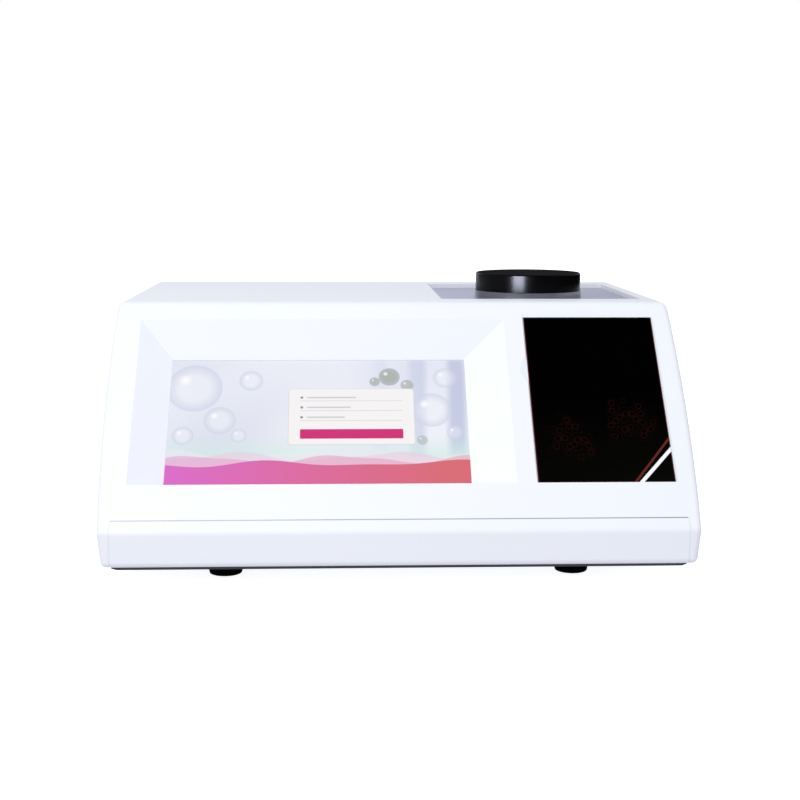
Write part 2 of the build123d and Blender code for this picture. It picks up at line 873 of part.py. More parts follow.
def make_heat_sink():
    start = stage_y + block_depth / 2 + cooler_thickness
    low = cooler_level - sink_height / 2
    high = cooler_level + sink_height / 2
    left = stage_x - sink_width / 2
    base_end = start + sink_base
    sink = block(left, left + sink_width, start, base_end, low, high)
    pitch = (sink_width - sink_fin_thickness) / (sink_fins - 1)
    fin_start = base_end - overlap
    for index in range(sink_fins):
        x = left + index * pitch
        sink = sink + block(x, x + sink_fin_thickness, fin_start, base_end + sink_fin_length, low, high)
    return sink


def make_optics_chassis():
    """A folded steel table under the optics block, its flanges flat on the tray's floor."""
    sheet = chassis_sheet
    half_x = block_width / 2 + chassis_margin
    front = stage_y - block_depth / 2
    back = stage_y + block_depth / 2
    table = block(stage_x - half_x, stage_x + half_x, front, back, block_bottom - sheet, block_bottom)
    for side in (-1, 1):
        outer = stage_x + side * half_x
        inner = outer - side * sheet
        end = outer + side * chassis_flange
        leg = block(min(outer, inner), max(outer, inner), front, back, floor_top, block_bottom)
        flange = block(min(inner, end), max(inner, end), front, back, floor_top, floor_top + sheet)
        table = table + leg + flange
    return table


def grille_slots():
    """The fan's grille: rows of slots that end on a circle, parted by an upright bar in the middle."""
    for row in range(grille_rows):
        offset = (row - (grille_rows - 1) / 2) * grille_pitch
        corner = abs(offset) + grille_slot_height / 2
        reach = math.sqrt(fan_bore_radius**2 - corner**2)
        length = reach - grille_bar_width / 2
        for side in (-1, 1):
            yield fan_x + side * (reach + grille_bar_width / 2) / 2, fan_z + offset, length


def make_rear_panel():
    y0 = panel_inner_y
    y1 = panel_face_y
    gap = 2 * rear_panel_gap
    panel = rear_plate(rear_width - gap, rear_height - gap, y0, y1, 0, rear_middle, rear_corner_radius)

    def cut(width, tall, x, z, fit=2 * cutout_clearance):
        return rear_plate(width + fit, tall + fit, y0 - 1, y1 + 1, x, z)

    panel = panel - cut(inlet_body[0], inlet_body[1], inlet_x, inlet_z)
    panel = panel - cut(switch_body_width, switch_body_height, inlet_x, switch_z)
    for x in usb_positions:
        panel = panel - cut(usb_shell[0], usb_shell[1], x, interface_top + usb_shell[1] / 2)
    panel = panel - cut(network_shell[0], network_shell[1], network_x, interface_top + network_shell[1] / 2)
    panel = panel - cut(serial_body[0], serial_body[1], serial_x, serial_z)
    for index in range(rear_vents):
        x = rear_vent_start + index * rear_vent_pitch
        panel = panel - cut(rear_vent_size[0], rear_vent_size[1], x, rear_vent_level, 0)
    for x, z, length in grille_slots():
        panel = panel - cut(length, grille_slot_height, x, z, 0)
    return panel


def make_fan_frame():
    """The square duct, with its motor base held on four struts."""
    y1 = panel_inner_y
    y0 = y1 - fan_thickness
    frame = rear_plate(fan_size, fan_size, y0, y1, fan_x, fan_z, fan_corner_radius)
    frame = frame - along_y(fan_x, fan_z, y0 - 1, y1 + 1, fan_bore_radius)
    length = fan_bore_radius + 3
    for index in range(4):
        place = Pos(fan_x, y0 + fan_motor_thickness / 2, fan_z) * Rot(0, 45 + index * 90, 0)
        frame = frame + place * Pos(0, 0, length / 2) * Box(fan_strut_width, fan_motor_thickness, length)
    frame = frame + along_y(fan_x, fan_z, y0, y0 + fan_motor_thickness, fan_hub_radius)
    bore = fan_shaft_radius + fan_bearing_fit
    return frame - along_y(fan_x, fan_z, y0 - 1, y0 + fan_motor_thickness + 1, bore)


def make_fan_rotor():
    """Hub, shaft and cambered blades set at a pitch, turned to spin about the Y axis."""
    low = fan_motor_thickness + 1
    high = fan_thickness - 2
    middle = (low + high) / 2
    tip = fan_bore_radius - fan_tip_gap
    hub = Pos(0, 0, middle) * Cylinder(fan_hub_radius, high - low)
    shaft = Pos(0, 0, (overlap + high) / 2) * Cylinder(fan_shaft_radius, high - overlap)
    half = fan_blade_chord / 2
    crest = fan_blade_bow + fan_blade_thickness / 2
    dip = fan_blade_bow - fan_blade_thickness / 2
    section = make_face([
        ThreePointArc((-half, 0), (0, crest), (half, 0)), ThreePointArc((half, 0), (0, dip), (-half, 0)),
    ])
    root = fan_hub_radius - fan_blade_overlap
    across = Plane(origin=(root, 0, middle), x_dir=(0, 1, 0), z_dir=(1, 0, 0)).location
    blade = extrude(across * Rot(0, 0, fan_blade_pitch) * section, amount=tip - root + fan_blade_bow)
    blade = blade & (Pos(0, 0, middle) * Cylinder(tip, high - low))
    rotor = hub + shaft
    for index in range(fan_blades):
        rotor = rotor + Rot(0, 0, index * 360 / fan_blades) * blade
    return Pos(fan_x, panel_inner_y - fan_thickness, fan_z) * Rot(-90, 0, 0) * rotor


def make_mains_inlet():
    """An appliance inlet: flange outside the panel, body behind it, cavity with two cut corners."""
    wide, tall, deep = inlet_body
    flange_wide, flange_tall, flange_thick = inlet_flange
    body = rear_plate(wide, tall, panel_face_y - deep, panel_face_y + overlap, inlet_x, inlet_z)
    face_y = panel_face_y + flange_thick
    flange = rear_plate(flange_wide, flange_tall, panel_face_y, face_y, inlet_x, inlet_z, 2.0)
    half_w = inlet_cavity[0] / 2
    half_h = inlet_cavity[1] / 2
    cut = inlet_corner_cut
    outline = [
        (-half_w, -half_h), (half_w, -half_h), (half_w, half_h - cut), (half_w - cut, half_h),
        (-half_w + cut, half_h), (-half_w, half_h - cut),
    ]
    cavity = Pos(inlet_x, face_y + 1, inlet_z) * Rot(90, 0, 0) * Polygon(*outline, align=None)
    return (body + flange) - extrude(cavity, amount=inlet_cavity[2] + 1)


def make_inlet_pins():
    wide, tall, long = inlet_pin
    root = panel_face_y + inlet_flange[2] - inlet_cavity[2]
    middle = root + long / 2
    return [Pos(inlet_x + x, middle, inlet_z + z) * Box(wide, long, tall) for x, z in inlet_pin_places]


def make_switch_frame():
    face = panel_face_y + switch_flange_thickness
    rim = 2 * switch_flange_rim
    body = rear_plate(
        switch_body_width, switch_body_height, panel_face_y - switch_body_depth, panel_face_y + overlap,
        inlet_x, switch_z,
    )
    flange = rear_plate(
        switch_body_width + rim, switch_body_height + rim, panel_face_y, face, inlet_x, switch_z
    )
    opening = rear_plate(
        rocker_width + 2 * rocker_gap, 2 * (rocker_radius + rocker_gap),
        rocker_pivot_y - switch_opening_depth, face + 1, inlet_x, switch_z,
    )
    bore = Pos(inlet_x, rocker_pivot_y, switch_z) * Rot(0, 90, 0)
    hole = bore * Cylinder(rocker_pin_radius + rocker_pin_fit, switch_body_width + 2)
    return (body + flange) - opening - hole


def make_switch_rocker():
    """A shallow dished rocker on two pins, its ends struck about the pivot; it rests switched off."""
    dish = rocker_dish
    horn = dish + rocker_radius * math.tan(math.radians(rocker_tilt))
    tall = rocker_radius + 1
    outline = [(dish, 0), (horn, tall), (-rocker_skirt, tall), (-rocker_skirt, -tall), (horn, -tall)]
    side = Polygon(*outline, align=None) & Circle(rocker_radius)
    rocker = extrude(Plane.YZ * side, amount=rocker_width / 2, both=True)
    pins = Rot(0, 90, 0) * Cylinder(rocker_pin_radius, switch_body_width - 2 * rocker_pin_gap)
    place = Pos(inlet_x, rocker_pivot_y, switch_z) * Rot(-rocker_tilt, 0, 0)
    return place * (rocker + pins)


def make_usb_ports():
    wide, tall, deep = usb_shell
    tongue_wide, tongue_tall = usb_tongue
    y1 = panel_face_y + usb_reach
    y0 = y1 - deep
    z = interface_top + tall / 2
    ports = []
    for x in usb_positions:
        shell = rear_plate(wide, tall, y0, y1, x, z)
        shell = shell - rear_plate(wide - 2 * usb_wall, tall - 2 * usb_wall, y0 + 2, y1 + 1, x, z)
        tongue_z = z + 0.6 * tongue_tall
        tongue = rear_plate(tongue_wide, tongue_tall, y0 + overlap, y1 - usb_reach, x, tongue_z)
        ports.append(shell + tongue)
    return ports


def make_network_port():
    wide, tall, deep = network_shell
    y1 = panel_face_y + network_reach
    z = interface_top + tall / 2
    cavity_wide, cavity_tall, cavity_deep = network_cavity
    cavity_z = z + network_cavity_rise
    latch_wide, latch_tall = network_latch
    latch_z = cavity_z - (cavity_tall + latch_tall) / 2 + overlap / 2
    shell = rear_plate(wide, tall, y1 - deep, y1, network_x, z)
    shell = shell - rear_plate(cavity_wide, cavity_tall, y1 - cavity_deep, y1 + 1, network_x, cavity_z)
    return shell - rear_plate(latch_wide, latch_tall, y1 - cavity_deep, y1 + 1, network_x, latch_z)


def serial_outline(shrink):
    """The D shape of a nine-way plug, smaller all round by a given amount."""
    half_top = serial_shell_wide / 2 - shrink
    half_bottom = half_top - serial_shell_lean
    half_height = serial_shell_height / 2 - shrink
    points = [
        (-half_bottom, -half_height), (half_bottom, -half_height), (half_top, half_height),
        (-half_top, half_height),
    ]
    face = Polygon(*points, align=None)
    return chamfer(face.vertices(), serial_shell_corner - shrink / 2)


def make_serial_port():
    wide, tall, deep = serial_body
    flange_wide, flange_tall, flange_thick = serial_flange
    end = serial_face_y + serial_shell_reach
    body = rear_plate(wide, tall, panel_face_y - deep, panel_face_y + overlap, serial_x, serial_z)
    flange = rear_plate(flange_wide, flange_tall, panel_face_y, serial_face_y, serial_x, serial_z)
    place = Pos(serial_x, end, serial_z) * Rot(90, 0, 0)
    shell = extrude(place * serial_outline(0), amount=serial_shell_reach + overlap / 2)
    bore = extrude(place * serial_outline(serial_shell_wall), amount=serial_shell_reach)
    port = body + flange + (shell - bore)
    for x in (serial_x - serial_post_spacing / 2, serial_x + serial_post_spacing / 2):
        post = Pos(x, end, serial_z) * Rot(90, 0, 0) * RegularPolygon(serial_post_radius, 6)
        port = port + extrude(post, amount=serial_shell_reach + overlap / 2)
    return port


def make_serial_pins():
    side = serial_pin_side
    end = serial_face_y + serial_shell_reach - serial_shell_wall
    pins = []
    for rise, count in serial_pin_rows:
        for index in range(count):
            x = serial_x + (index - (count - 1) / 2) * serial_pin_pitch
            pins.append(rear_plate(side, side, serial_face_y, end, x, serial_z + rise))
    return pins


def make_interface_board():
    back = panel_inner_y - interface_back_gap
    return block(interface_left, interface_right, interface_front, back, interface_level, interface_top)


def make_main_board():
    return block(
        main_board_left, main_board_right, main_board_front, main_board_back,
        board_level, board_level + board_thickness,
    )


def make_board_components():
    """What stands on the main board: a processor, a transformer, capacitors and plug sockets."""
    top = board_level + board_thickness
    parts = [block(*outline, top, top + height) for *outline, height in (processor, transformer)]
    x, y, pitch = capacitor_row
    for index in range(capacitors):
        place = Pos(x, y + index * pitch, top + capacitor_height / 2)
        parts.append(place * pillar(capacitor_radius, capacitor_height, 8))
    width, depth, height = plug_socket
    x, y, pitch = plug_socket_row
    for index in range(plug_sockets):
        left = x + index * pitch
        parts.append(block(left, left + width, y, y + depth, top, top + height))
    return parts


def make_power_supply():
    """A vented sheet-metal case with a screw terminal strip at its front end."""
    sheet = supply_sheet
    low = board_level
    high = board_level + supply_height
    front = supply_front + supply_strip
    case = block(supply_left, supply_right, front, supply_back, low, high)
    case = case - block(
        supply_left + sheet, supply_right - sheet, front + sheet, supply_back - sheet,
        low + sheet, high - sheet,
    )
    slot_start = (supply_left + supply_right - (supply_slots - 1) * supply_slot_pitch) / 2
    half = supply_slot_width / 2
    slot_front = front + supply_slot_margin
    slot_back = supply_back - supply_slot_margin
    for index in range(supply_slots):
        x = slot_start + index * supply_slot_pitch
        case = case - block(x - half, x + half, slot_front, slot_back, high - 2 * sheet, high + 1)
    base = block(supply_left, supply_right, supply_front, front, low, low + 2 * sheet)
    strip_left = supply_left + supply_strip_inset
    strip_right = supply_right - supply_strip_inset
    strip_top = low + supply_strip_height
    strip = block(strip_left, strip_right, supply_front + overlap, front, low, strip_top)
    return case + base + strip


def main():
    form = body_form()
    cavity = cavity_form()
    pieces = {
        "upper_housing": make_upper_housing(form, cavity),
        "base_tray": make_base_tray(form, cavity),
        "base_plate": make_base_plate(),
        "feet": make_feet(),
        "touch_glass": make_touch_glass(),
        "display_gasket": make_display_gasket(),
        "display_module": make_display_module(),
        "display_bracket": make_display_bracket(),
        "cover_panel": make_cover_panel(),
        "stage_plate": make_stage_plate(),
        "sample_well": make_sample_well(),
        "measuring_prism": make_measuring_prism(),
        "sample_cap": make_sample_cap(),
        "cap_liner": make_cap_liner(),
        "optics_block": make_optics_block(),
        "light_board": make_side_board(-1, light_board_parts),
        "sensor_board": make_side_board(1, sensor_board_parts),
        "thermal_modules": make_thermal_modules(),
        "heat_sink": make_heat_sink(),
        "optics_chassis": make_optics_chassis(),
        "rear_panel": make_rear_panel(),
        "fan_frame": make_fan_frame(),
        "fan_rotor": make_fan_rotor(),
        "mains_inlet": make_mains_inlet(),
        "inlet_pins": make_inlet_pins(),
        "switch_frame": make_switch_frame(),
        "switch_rocker": make_switch_rocker(),
        "usb_ports": make_usb_ports(),
        "network_port": make_network_port(),
        "serial_port": make_serial_port(),
        "serial_pins": make_serial_pins(),
        "interface_board": make_interface_board(),
        "main_board": make_main_board(),
        "board_components": make_board_components(),
        "power_supply": make_power_supply(),
    }
    os.makedirs("parts", exist_ok=True)
    for name, piece in pieces.items():
        shape = Compound(children=piece) if isinstance(piece, list) else piece
        export_step(shape, f"parts/{name}.step")
        print(name, round(shape.volume / 1000, 2), "cm3")


main()
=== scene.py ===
import math

import bmesh
import bpy
from mathutils import Matrix, Vector


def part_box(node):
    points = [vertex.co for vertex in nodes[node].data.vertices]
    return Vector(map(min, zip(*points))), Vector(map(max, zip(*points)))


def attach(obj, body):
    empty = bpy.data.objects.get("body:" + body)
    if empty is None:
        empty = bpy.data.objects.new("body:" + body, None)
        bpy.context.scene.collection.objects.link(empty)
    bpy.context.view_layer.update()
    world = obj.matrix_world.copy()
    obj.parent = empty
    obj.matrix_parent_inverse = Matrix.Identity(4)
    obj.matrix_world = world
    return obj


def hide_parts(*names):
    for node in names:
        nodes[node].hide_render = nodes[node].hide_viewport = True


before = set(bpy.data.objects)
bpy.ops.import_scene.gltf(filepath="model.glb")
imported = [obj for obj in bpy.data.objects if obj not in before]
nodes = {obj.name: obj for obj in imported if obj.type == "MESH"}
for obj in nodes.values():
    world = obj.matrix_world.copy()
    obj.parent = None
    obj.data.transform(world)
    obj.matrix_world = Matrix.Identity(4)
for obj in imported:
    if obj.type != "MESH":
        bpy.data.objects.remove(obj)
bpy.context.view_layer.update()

print("frame loaded,", len(nodes), "nodes")


# Small helpers for colours, numbers and sockets

def tint(red, green, blue):
    # a screen colour from 0 to 255, as the linear colour that a shader wants
    steps = [c / 255 for c in (red, green, blue)]
    return tuple(c / 12.92 if c <= 0.04045 else ((c + 0.055) / 1.055) ** 2.4 for c in steps) + (1.0,)


def length(dx, dy):
    return (dx * dx + dy * dy).root()


class Value:  # one output socket, on which an expression adds Math nodes
    def __init__(self, shader, socket):
        self.shader = shader
        self.socket = socket

    def other(self, output):
        return Value(self.shader, self.socket.node.outputs[output])

    def maths(self, operation, first, second=None, clamp=False):
        inputs = {i: item for i, item in enumerate((first, second)) if item is not None}
        return self.shader.node("ShaderNodeMath", {"operation": operation, "use_clamp": clamp}, inputs)

    def __add__(self, other):
        return self.maths("ADD", self, other)

    def __radd__(self, other):
        return self.maths("ADD", other, self)

    def __sub__(self, other):
        return self.maths("SUBTRACT", self, other)

    def __rsub__(self, other):
        return self.maths("SUBTRACT", other, self)

    def __mul__(self, other):
        return self.maths("MULTIPLY", self, other)

    def __rmul__(self, other):
        return self.maths("MULTIPLY", other, self)

    def __truediv__(self, other):
        return self.maths("DIVIDE", self, other)

    def __rtruediv__(self, other):
        return self.maths("DIVIDE", other, self)

    def sine(self):
        return self.maths("SINE", self)

    def size(self):
        return self.maths("ABSOLUTE", self)

    def root(self):
        return self.maths("SQRT", self)

    def least(self, other):
        return self.maths("MINIMUM", self, other)

    def most(self, other):
        return self.maths("MAXIMUM", self, other)

    def limited(self):
        return self.maths("ADD", self, 0.0, clamp=True)

    def between(self, low, high):
        # from low where this value is 0 to high where it is 1
        return low + (high - low) * self

    def above(self, edge, blur):
        # 0 below the edge, 1 above it, with a soft step as wide as the blur
        return self.maths("ADD", (self - edge) / blur, 0.5, clamp=True)

    def below(self, edge, blur):
        return self.maths("SUBTRACT", 0.5, (self - edge) / blur, clamp=True)


class Shader:  # the nodes of one material or of the world, with one method that adds any node
    def __init__(self, name, world=False):
        self.owner = (bpy.data.worlds if world else bpy.data.materials).new(name)
        self.owner.use_nodes = True
        self.tree = self.owner.node_tree
        self.surface = self.tree.nodes["Background" if world else "Principled BSDF"]

    def node(self, kind, settings=None, inputs=None, output=0):
        made = self.tree.nodes.new(kind)
        for key, item in (settings or {}).items():
            if key == "stops":
                ramp = made.color_ramp.elements
                while len(ramp) < len(item):
                    ramp.new(0.5)
                for index, (place, colour) in enumerate(item):
                    ramp[index].position = place
                    ramp[index].color = colour
            else:
                setattr(made, key, item)
        for key, item in (inputs or {}).items():
            self.feed(made.inputs[key], item)
        return Value(self, made.outputs[output])

    def feed(self, socket, item):
        if isinstance(item, Value):
            self.tree.links.new(item.socket, socket)
        else:
            socket.default_value = item

    def set(self, **items):
        # Base_Color stands for the socket "Base Color"
        for key, item in items.items():
            self.feed(self.surface.inputs[key.replace("_", " ")], item)

    def place(self):
        return self.node("ShaderNodeTexCoord", output="Object")

    def axes(self, vector=None):
        split = self.node("ShaderNodeSeparateXYZ", inputs={0: vector or self.place()})
        return split, split.other(1), split.other(2)

    def mix(self, factor, under, over):
        # a Mix node's sockets 6 and 7 are its two colours
        inputs = {0: factor, 6: under, 7: over}
        return self.node("ShaderNodeMix", {"data_type": "RGBA"}, inputs, output=2)

    def stretch(self, x, y, z):
        inputs = {0: self.place(), 1: (x, y, z)}
        return self.node("ShaderNodeVectorMath", {"operation": "MULTIPLY"}, inputs)

    def noise(self, scale, detail=2.0, vector=None, roughness=0.5):
        inputs = {"Vector": vector or self.place(), "Scale": scale, "Detail": detail, "Roughness": roughness}
        return self.node("ShaderNodeTexNoise", inputs=inputs)

    def bump(self, height, depth, strength):
        inputs = {"Height": height, "Distance": depth, "Strength": strength}
        self.set(Normal=self.node("ShaderNodeBump", inputs=inputs))


def dress(shader, *names):
    for name in names:
        for slot in nodes[name].material_slots:
            slot.material = shader.owner


# The camera stands where the photograph was taken from

camera = {
    "place": (-0.0449, -1.1456, 0.2788),
    "yaw": 2.58,        # degrees towards +X
    "pitch": 8.65,      # degrees down
    "roll": 0.22,
    "focalPixels": 1400,
    "imagePixels": 800,
    "sensor": 36.0,
}


def makeCamera():
    data = bpy.data.cameras.new("camera")
    data.sensor_width = camera["sensor"]
    data.lens = camera["sensor"] * camera["focalPixels"] / camera["imagePixels"]
    seen = bpy.data.objects.new("camera", data)
    bpy.context.scene.collection.objects.link(seen)
    turn = Matrix.Rotation(math.radians(-camera["yaw"]), 4, "Z")
    tilt = Matrix.Rotation(math.radians(90 - camera["pitch"]), 4, "X")
    roll = Matrix.Rotation(math.radians(camera["roll"]), 4, "Z")
    seen.matrix_world = Matrix.Translation(camera["place"]) @ turn @ tilt @ roll
    bpy.context.scene.camera = seen


makeCamera()


# Floor, light and surroundings

studio = {
    "floorRadius": 6.0, "floorSides": 96, "floorColour": (246, 247, 250), "floorSecond": (236, 238, 243),
    "floorCloud": 3.0, "floorCloudShare": 0.06, "floorRoughness": 0.9, "floorGlow": 0.97,
    "backdrop": (1.0, 1.0, 1.0, 1.0),           # what the camera sees behind the floor
    "fill": (0.735, 0.737, 0.805, 1.0),         # what matt surfaces get from all sides
    "mirrorFront": (0.010, 0.010, 0.011, 1.0),  # what a gloss surface sees below and straight above
    "mirrorSide": (0.30, 0.30, 0.31, 1.0),      # and on all sides, from the table to near the top
    "mirrorBack": (0.74, 0.75, 0.85, 1.0),      # and low down behind, where the pale wall is
    # the soft steps of each zone: an axis, where the step is 0 and where it is 1
    "sideZone": ((2, 0.02, 0.14), (2, 0.94, 0.87)),
    "backZone": ((1, 0.70, 0.92), (2, 0.60, 0.25), (0, 0.50, 0.0)),
}
lights = [
    {
        "name": "keyPanel", "place": (-0.75, -1.06, 1.56), "aim": (0.0, -0.05, 0.12),
        "size": (1.0, 0.8), "power": 13.1, "colour": (0.96, 1.0, 0.90), "onlyOn": (), "glossy": True,
    },
    {   # makes the bright streak down the side of the cap
        "name": "stripPanel", "place": (-0.56, -1.25, 0.19), "aim": (0.12, 0.06, 0.19),
        "size": (0.62, 0.70), "power": 122.0, "colour": (0.78, 0.81, 1.0), "onlyOn": ("sample_cap",),
        "glossy": True,
    },
    {
        "name": "lowPanel", "place": (-0.35, -1.50, 0.22), "aim": (0.0, -0.19, 0.08),
        "size": (1.2, 0.5), "power": 1.1, "colour": (1.0, 1.0, 0.96), "onlyOn": (), "glossy": False,
    },
]


def makeFloor():
    mesh = bpy.data.meshes.new("floor")
    form = bmesh.new()
    bmesh.ops.create_circle(form, cap_ends=True, segments=studio["floorSides"], radius=studio["floorRadius"])
    form.to_mesh(mesh)
    form.free()
    floor = bpy.data.objects.new("floor", mesh)
    bpy.context.scene.collection.objects.link(floor)
    shader = Shader("paleFloor")
    share = shader.noise(studio["floorCloud"]) * studio["floorCloudShare"]
    colour = shader.mix(share, tint(*studio["floorColour"]), tint(*studio["floorSecond"]))
    shader.set(Base_Color=colour, Roughness=studio["floorRoughness"], Specular_IOR_Level=0.0)
    shader.set(Emission_Color=colour, Emission_Strength=studio["floorGlow"])
    mesh.materials.append(shader.owner)
    floor.visible_glossy = False
    floor.visible_diffuse = False  # the fill comes from below as well, as on a lit table


def makeWorld():
    sky = Shader("studio", world=True)
    axes = sky.axes(sky.node("ShaderNodeTexCoord", output="Generated"))

    def zone(steps):
        product = 1.0
        for axis, start, end in steps:
            inputs = {0: axes[axis], 1: start, 2: end}
            product = product * sky.node("ShaderNodeMapRange", {"interpolation_type": "SMOOTHSTEP"}, inputs)
        return product

    mirror = sky.mix(zone(studio["sideZone"]), studio["mirrorFront"], studio["mirrorSide"])
    mirror = sky.mix(zone(studio["backZone"]), mirror, studio["mirrorBack"])
    light = sky.mix(sky.node("ShaderNodeLightPath", output="Is Glossy Ray"), studio["fill"], mirror)
    seen = sky.mix(sky.node("ShaderNodeLightPath", output="Is Camera Ray"), light, studio["backdrop"])
    sky.set(Color=seen)
    bpy.context.scene.world = sky.owner


def makeLights():
    for lamp in lights:
        data = bpy.data.lights.new(lamp["name"], "AREA")
        data.shape = "RECTANGLE"
        data.size, data.size_y = lamp["size"]
        data.energy = lamp["power"]
        data.color = lamp["colour"]
        made = bpy.data.objects.new(lamp["name"], data)
        bpy.context.scene.collection.objects.link(made)
        aim = Vector(lamp["aim"]) - Vector(lamp["place"])
        turn = aim.to_track_quat("-Z", "Y").to_matrix().to_4x4()
        made.matrix_world = Matrix.Translation(lamp["place"]) @ turn
        made.visible_camera = False
        made.visible_glossy = lamp["glossy"]
        if lamp["onlyOn"]:
            lit = bpy.data.collections.new(lamp["name"])
            for name in lamp["onlyOn"]:
                lit.objects.link(nodes[name])
            made.light_linking.receiver_collection = lit


makeFloor()
makeWorld()
makeLights()
bpy.context.scene.view_settings.view_transform = "Standard"
print("camera, floor and lights placed")


# The slope of the housing, on which the screen and the cover panel lie

slope = {
    "angle": 48.0,
    "glassLip": 0.006,   # how far the glass runs under the edge of the window
}


def slopeValues(shader, node, inset=0.0):
    # the distance to the right of the node's left edge and up the slope from its lower edge, in metres
    low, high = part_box(node)
    rise = math.radians(slope["angle"])
    sine, cosine = math.sin(rise), math.cos(rise)
    across, deep = high.y - low.y, high.z - low.z
    thick = (across * sine - deep * cosine) / (sine ** 2 - cosine ** 2)
    footY, footZ = low.y, low.z + thick * cosine
    x, y, z = shader.axes()
    right = x - (low.x + inset)
    up = (y - footY) * cosine + (z - footZ) * sine - inset
    tall = across * cosine + deep * sine - 2 * thick * sine * cosine
    return right, up, high.x - low.x - 2 * inset, tall - 2 * inset


# Finishes of moulded plastic, rubber and paint

usualPlain = {
    "cloud": 18.0, "grain": 1400.0, "depth": 0.00003, "strength": 0.5, "shine": 0.5,
    "coat": 0.0, "coatRoughness": 0.1,
}


def plain(name, finish, *names):
    # a surface of one colour that is a little cloudy, with a fine grain
    finish = {**usualPlain, **finish}
    shader = Shader(name)
    cloud = shader.noise(finish["cloud"], detail=3.0)
    share = cloud
    if "paintedShadeFrom" in finish:  # painted light and shade: goes from the first colour at the left to the second at the right
        share = shader.axes()[0].above(*finish["paintedShadeFrom"])
    colour = shader.mix(share, tint(*finish["colour"]), tint(*finish["second"]))
    shader.set(Base_Color=colour, Roughness=cloud.between(*finish["roughness"]))
    shader.set(Specular_IOR_Level=finish["shine"])
    shader.set(Coat_Weight=finish["coat"], Coat_Roughness=finish["coatRoughness"])
    shader.bump(shader.noise(finish["grain"]), finish["depth"], finish["strength"])
    dress(shader, *names)
    return shader


plain("shellWhite", {
    "colour": (246, 248, 252), "second": (242, 245, 251), "cloud": 7.0,
    "roughness": (0.36, 0.44), "grain": 1500.0, "depth": 0.000012, "shine": 0.35,
}, "upper_housing", "base_tray")
plain("rearPaint", {
    "colour": (203, 206, 212), "second": (196, 199, 206), "cloud": 9.0,
    "roughness": (0.5, 0.6), "grain": 700.0, "depth": 0.00008, "shine": 0.35,
}, "rear_panel")
footRubber = plain("footRubber", {
    "colour": (3, 3, 3), "second": (6, 6, 6), "cloud": 60.0,
    "roughness": (0.65, 0.8), "grain": 1800.0, "depth": 0.00005, "shine": 0.06,
}, "feet")
sealRubber = plain("sealRubber", {
    "colour": (24, 24, 26), "second": (30, 30, 32), "roughness": (0.6, 0.7), "shine": 0.3,
}, "display_gasket")
plain("fanPlastic", {
    "colour": (26, 27, 29), "second": (32, 33, 35), "roughness": (0.4, 0.5), "cloud": 40.0,
}, "fan_frame", "fan_rotor")
plain("socketPlastic", {
    "colour": (20, 20, 22), "second": (27, 27, 29), "roughness": (0.38, 0.5), "cloud": 60.0,
}, "mains_inlet", "switch_frame")
plain("rockerGloss", {
    "colour": (15, 15, 16), "second": (20, 20, 21), "roughness": (0.18, 0.24), "cloud": 60.0,
}, "switch_rocker")
plain("componentPlastic", {
    "colour": (30, 31, 34), "second": (44, 45, 50), "roughness": (0.4, 0.55), "cloud": 90.0,
}, "board_components")
plain("coolerCeramic", {
    "colour": (232, 230, 222), "second": (222, 220, 212), "roughness": (0.5, 0.6), "cloud": 120.0,
}, "thermal_modules")
plain("circuitBoard", {
    "colour": (20, 84, 52), "second": (30, 102, 62), "cloud": 160.0, "roughness": (0.35, 0.45),
    "coat": 0.4, "coatRoughness": 0.2,
}, "interface_board", "main_board", "light_board", "sensor_board")
plain("baseSteel", {  # a painted sheet
    "colour": (74, 76, 80), "second": (66, 69, 73), "roughness": (0.5, 0.62), "grain": 900.0,
    "depth": 0.00006, "shine": 0.35,
}, "base_plate")
print("plastics and paints dressed")


# Finishes of bare metal, and of the turned cap

usualBrushed = {
    "cloud": 14.0, "scratchShare": 0.6, "cloudShare": 0.4, "depth": 0.00004, "strength": 0.4,
}
usualTurned = {
    "cloud": 30.0, "ringShare": 0.55, "cloudShare": 0.45, "depth": 0.00001, "strength": 0.4,
    "metallic": 1.0, "shine": 0.5,
}


def brushed(name, finish, *names):
    # a sheet with fine scratches along one axis
    finish = {**usualBrushed, **finish}
    shader = Shader(name)
    scratch = shader.noise(1.0, detail=4.0, vector=shader.stretch(*finish["stretch"]), roughness=0.65)
    cloud = shader.noise(finish["cloud"])
    colour = shader.mix(scratch, tint(*finish["colour"]), tint(*finish["second"]))
    rough = finish["scratchShare"] * scratch + finish["cloudShare"] * cloud
    shader.set(Base_Color=colour, Roughness=rough.between(*finish["roughness"]), Metallic=1.0)
    shader.bump(scratch, finish["depth"], finish["strength"])
    dress(shader, *names)
    return shader


def turned(name, finish, centre, *names):
    # a piece turned on a lathe, with fine rings about a vertical axis
    finish = {**usualTurned, **finish}
    shader = Shader(name)
    x, y, z = shader.axes()
    far = length(x - centre[0], y - centre[1])
    ring = (far * finish["rings"] + z * finish["rings"]).sine() * 0.5 + 0.5
    mark = finish["ringShare"] * ring + finish["cloudShare"] * shader.noise(finish["cloud"], detail=3.0)
    rough = mark.between(*finish["roughness"])
    if "mattAbove" in finish:  # a matt top face, which reflects far less than the sides
        top = z.above(finish["mattAbove"], finish["mattBlur"])
        rough = rough + finish["mattRougher"] * top
        gloss = Value(shader, shader.surface.outputs[0])
        matt = shader.node("ShaderNodeBsdfDiffuse", inputs={0: tint(*finish["mattColour"])})
        both = shader.node("ShaderNodeMixShader", inputs={0: top * finish["mattShare"], 1: gloss, 2: matt})
        shader.feed(shader.tree.nodes["Material Output"].inputs[0], both)
    shader.set(Base_Color=shader.mix(mark, tint(*finish["colour"]), tint(*finish["second"])), Roughness=rough)
    shader.set(Metallic=finish["metallic"], Specular_IOR_Level=finish["shine"])
    shader.bump(ring, finish["depth"], finish["strength"])
    dress(shader, *names)


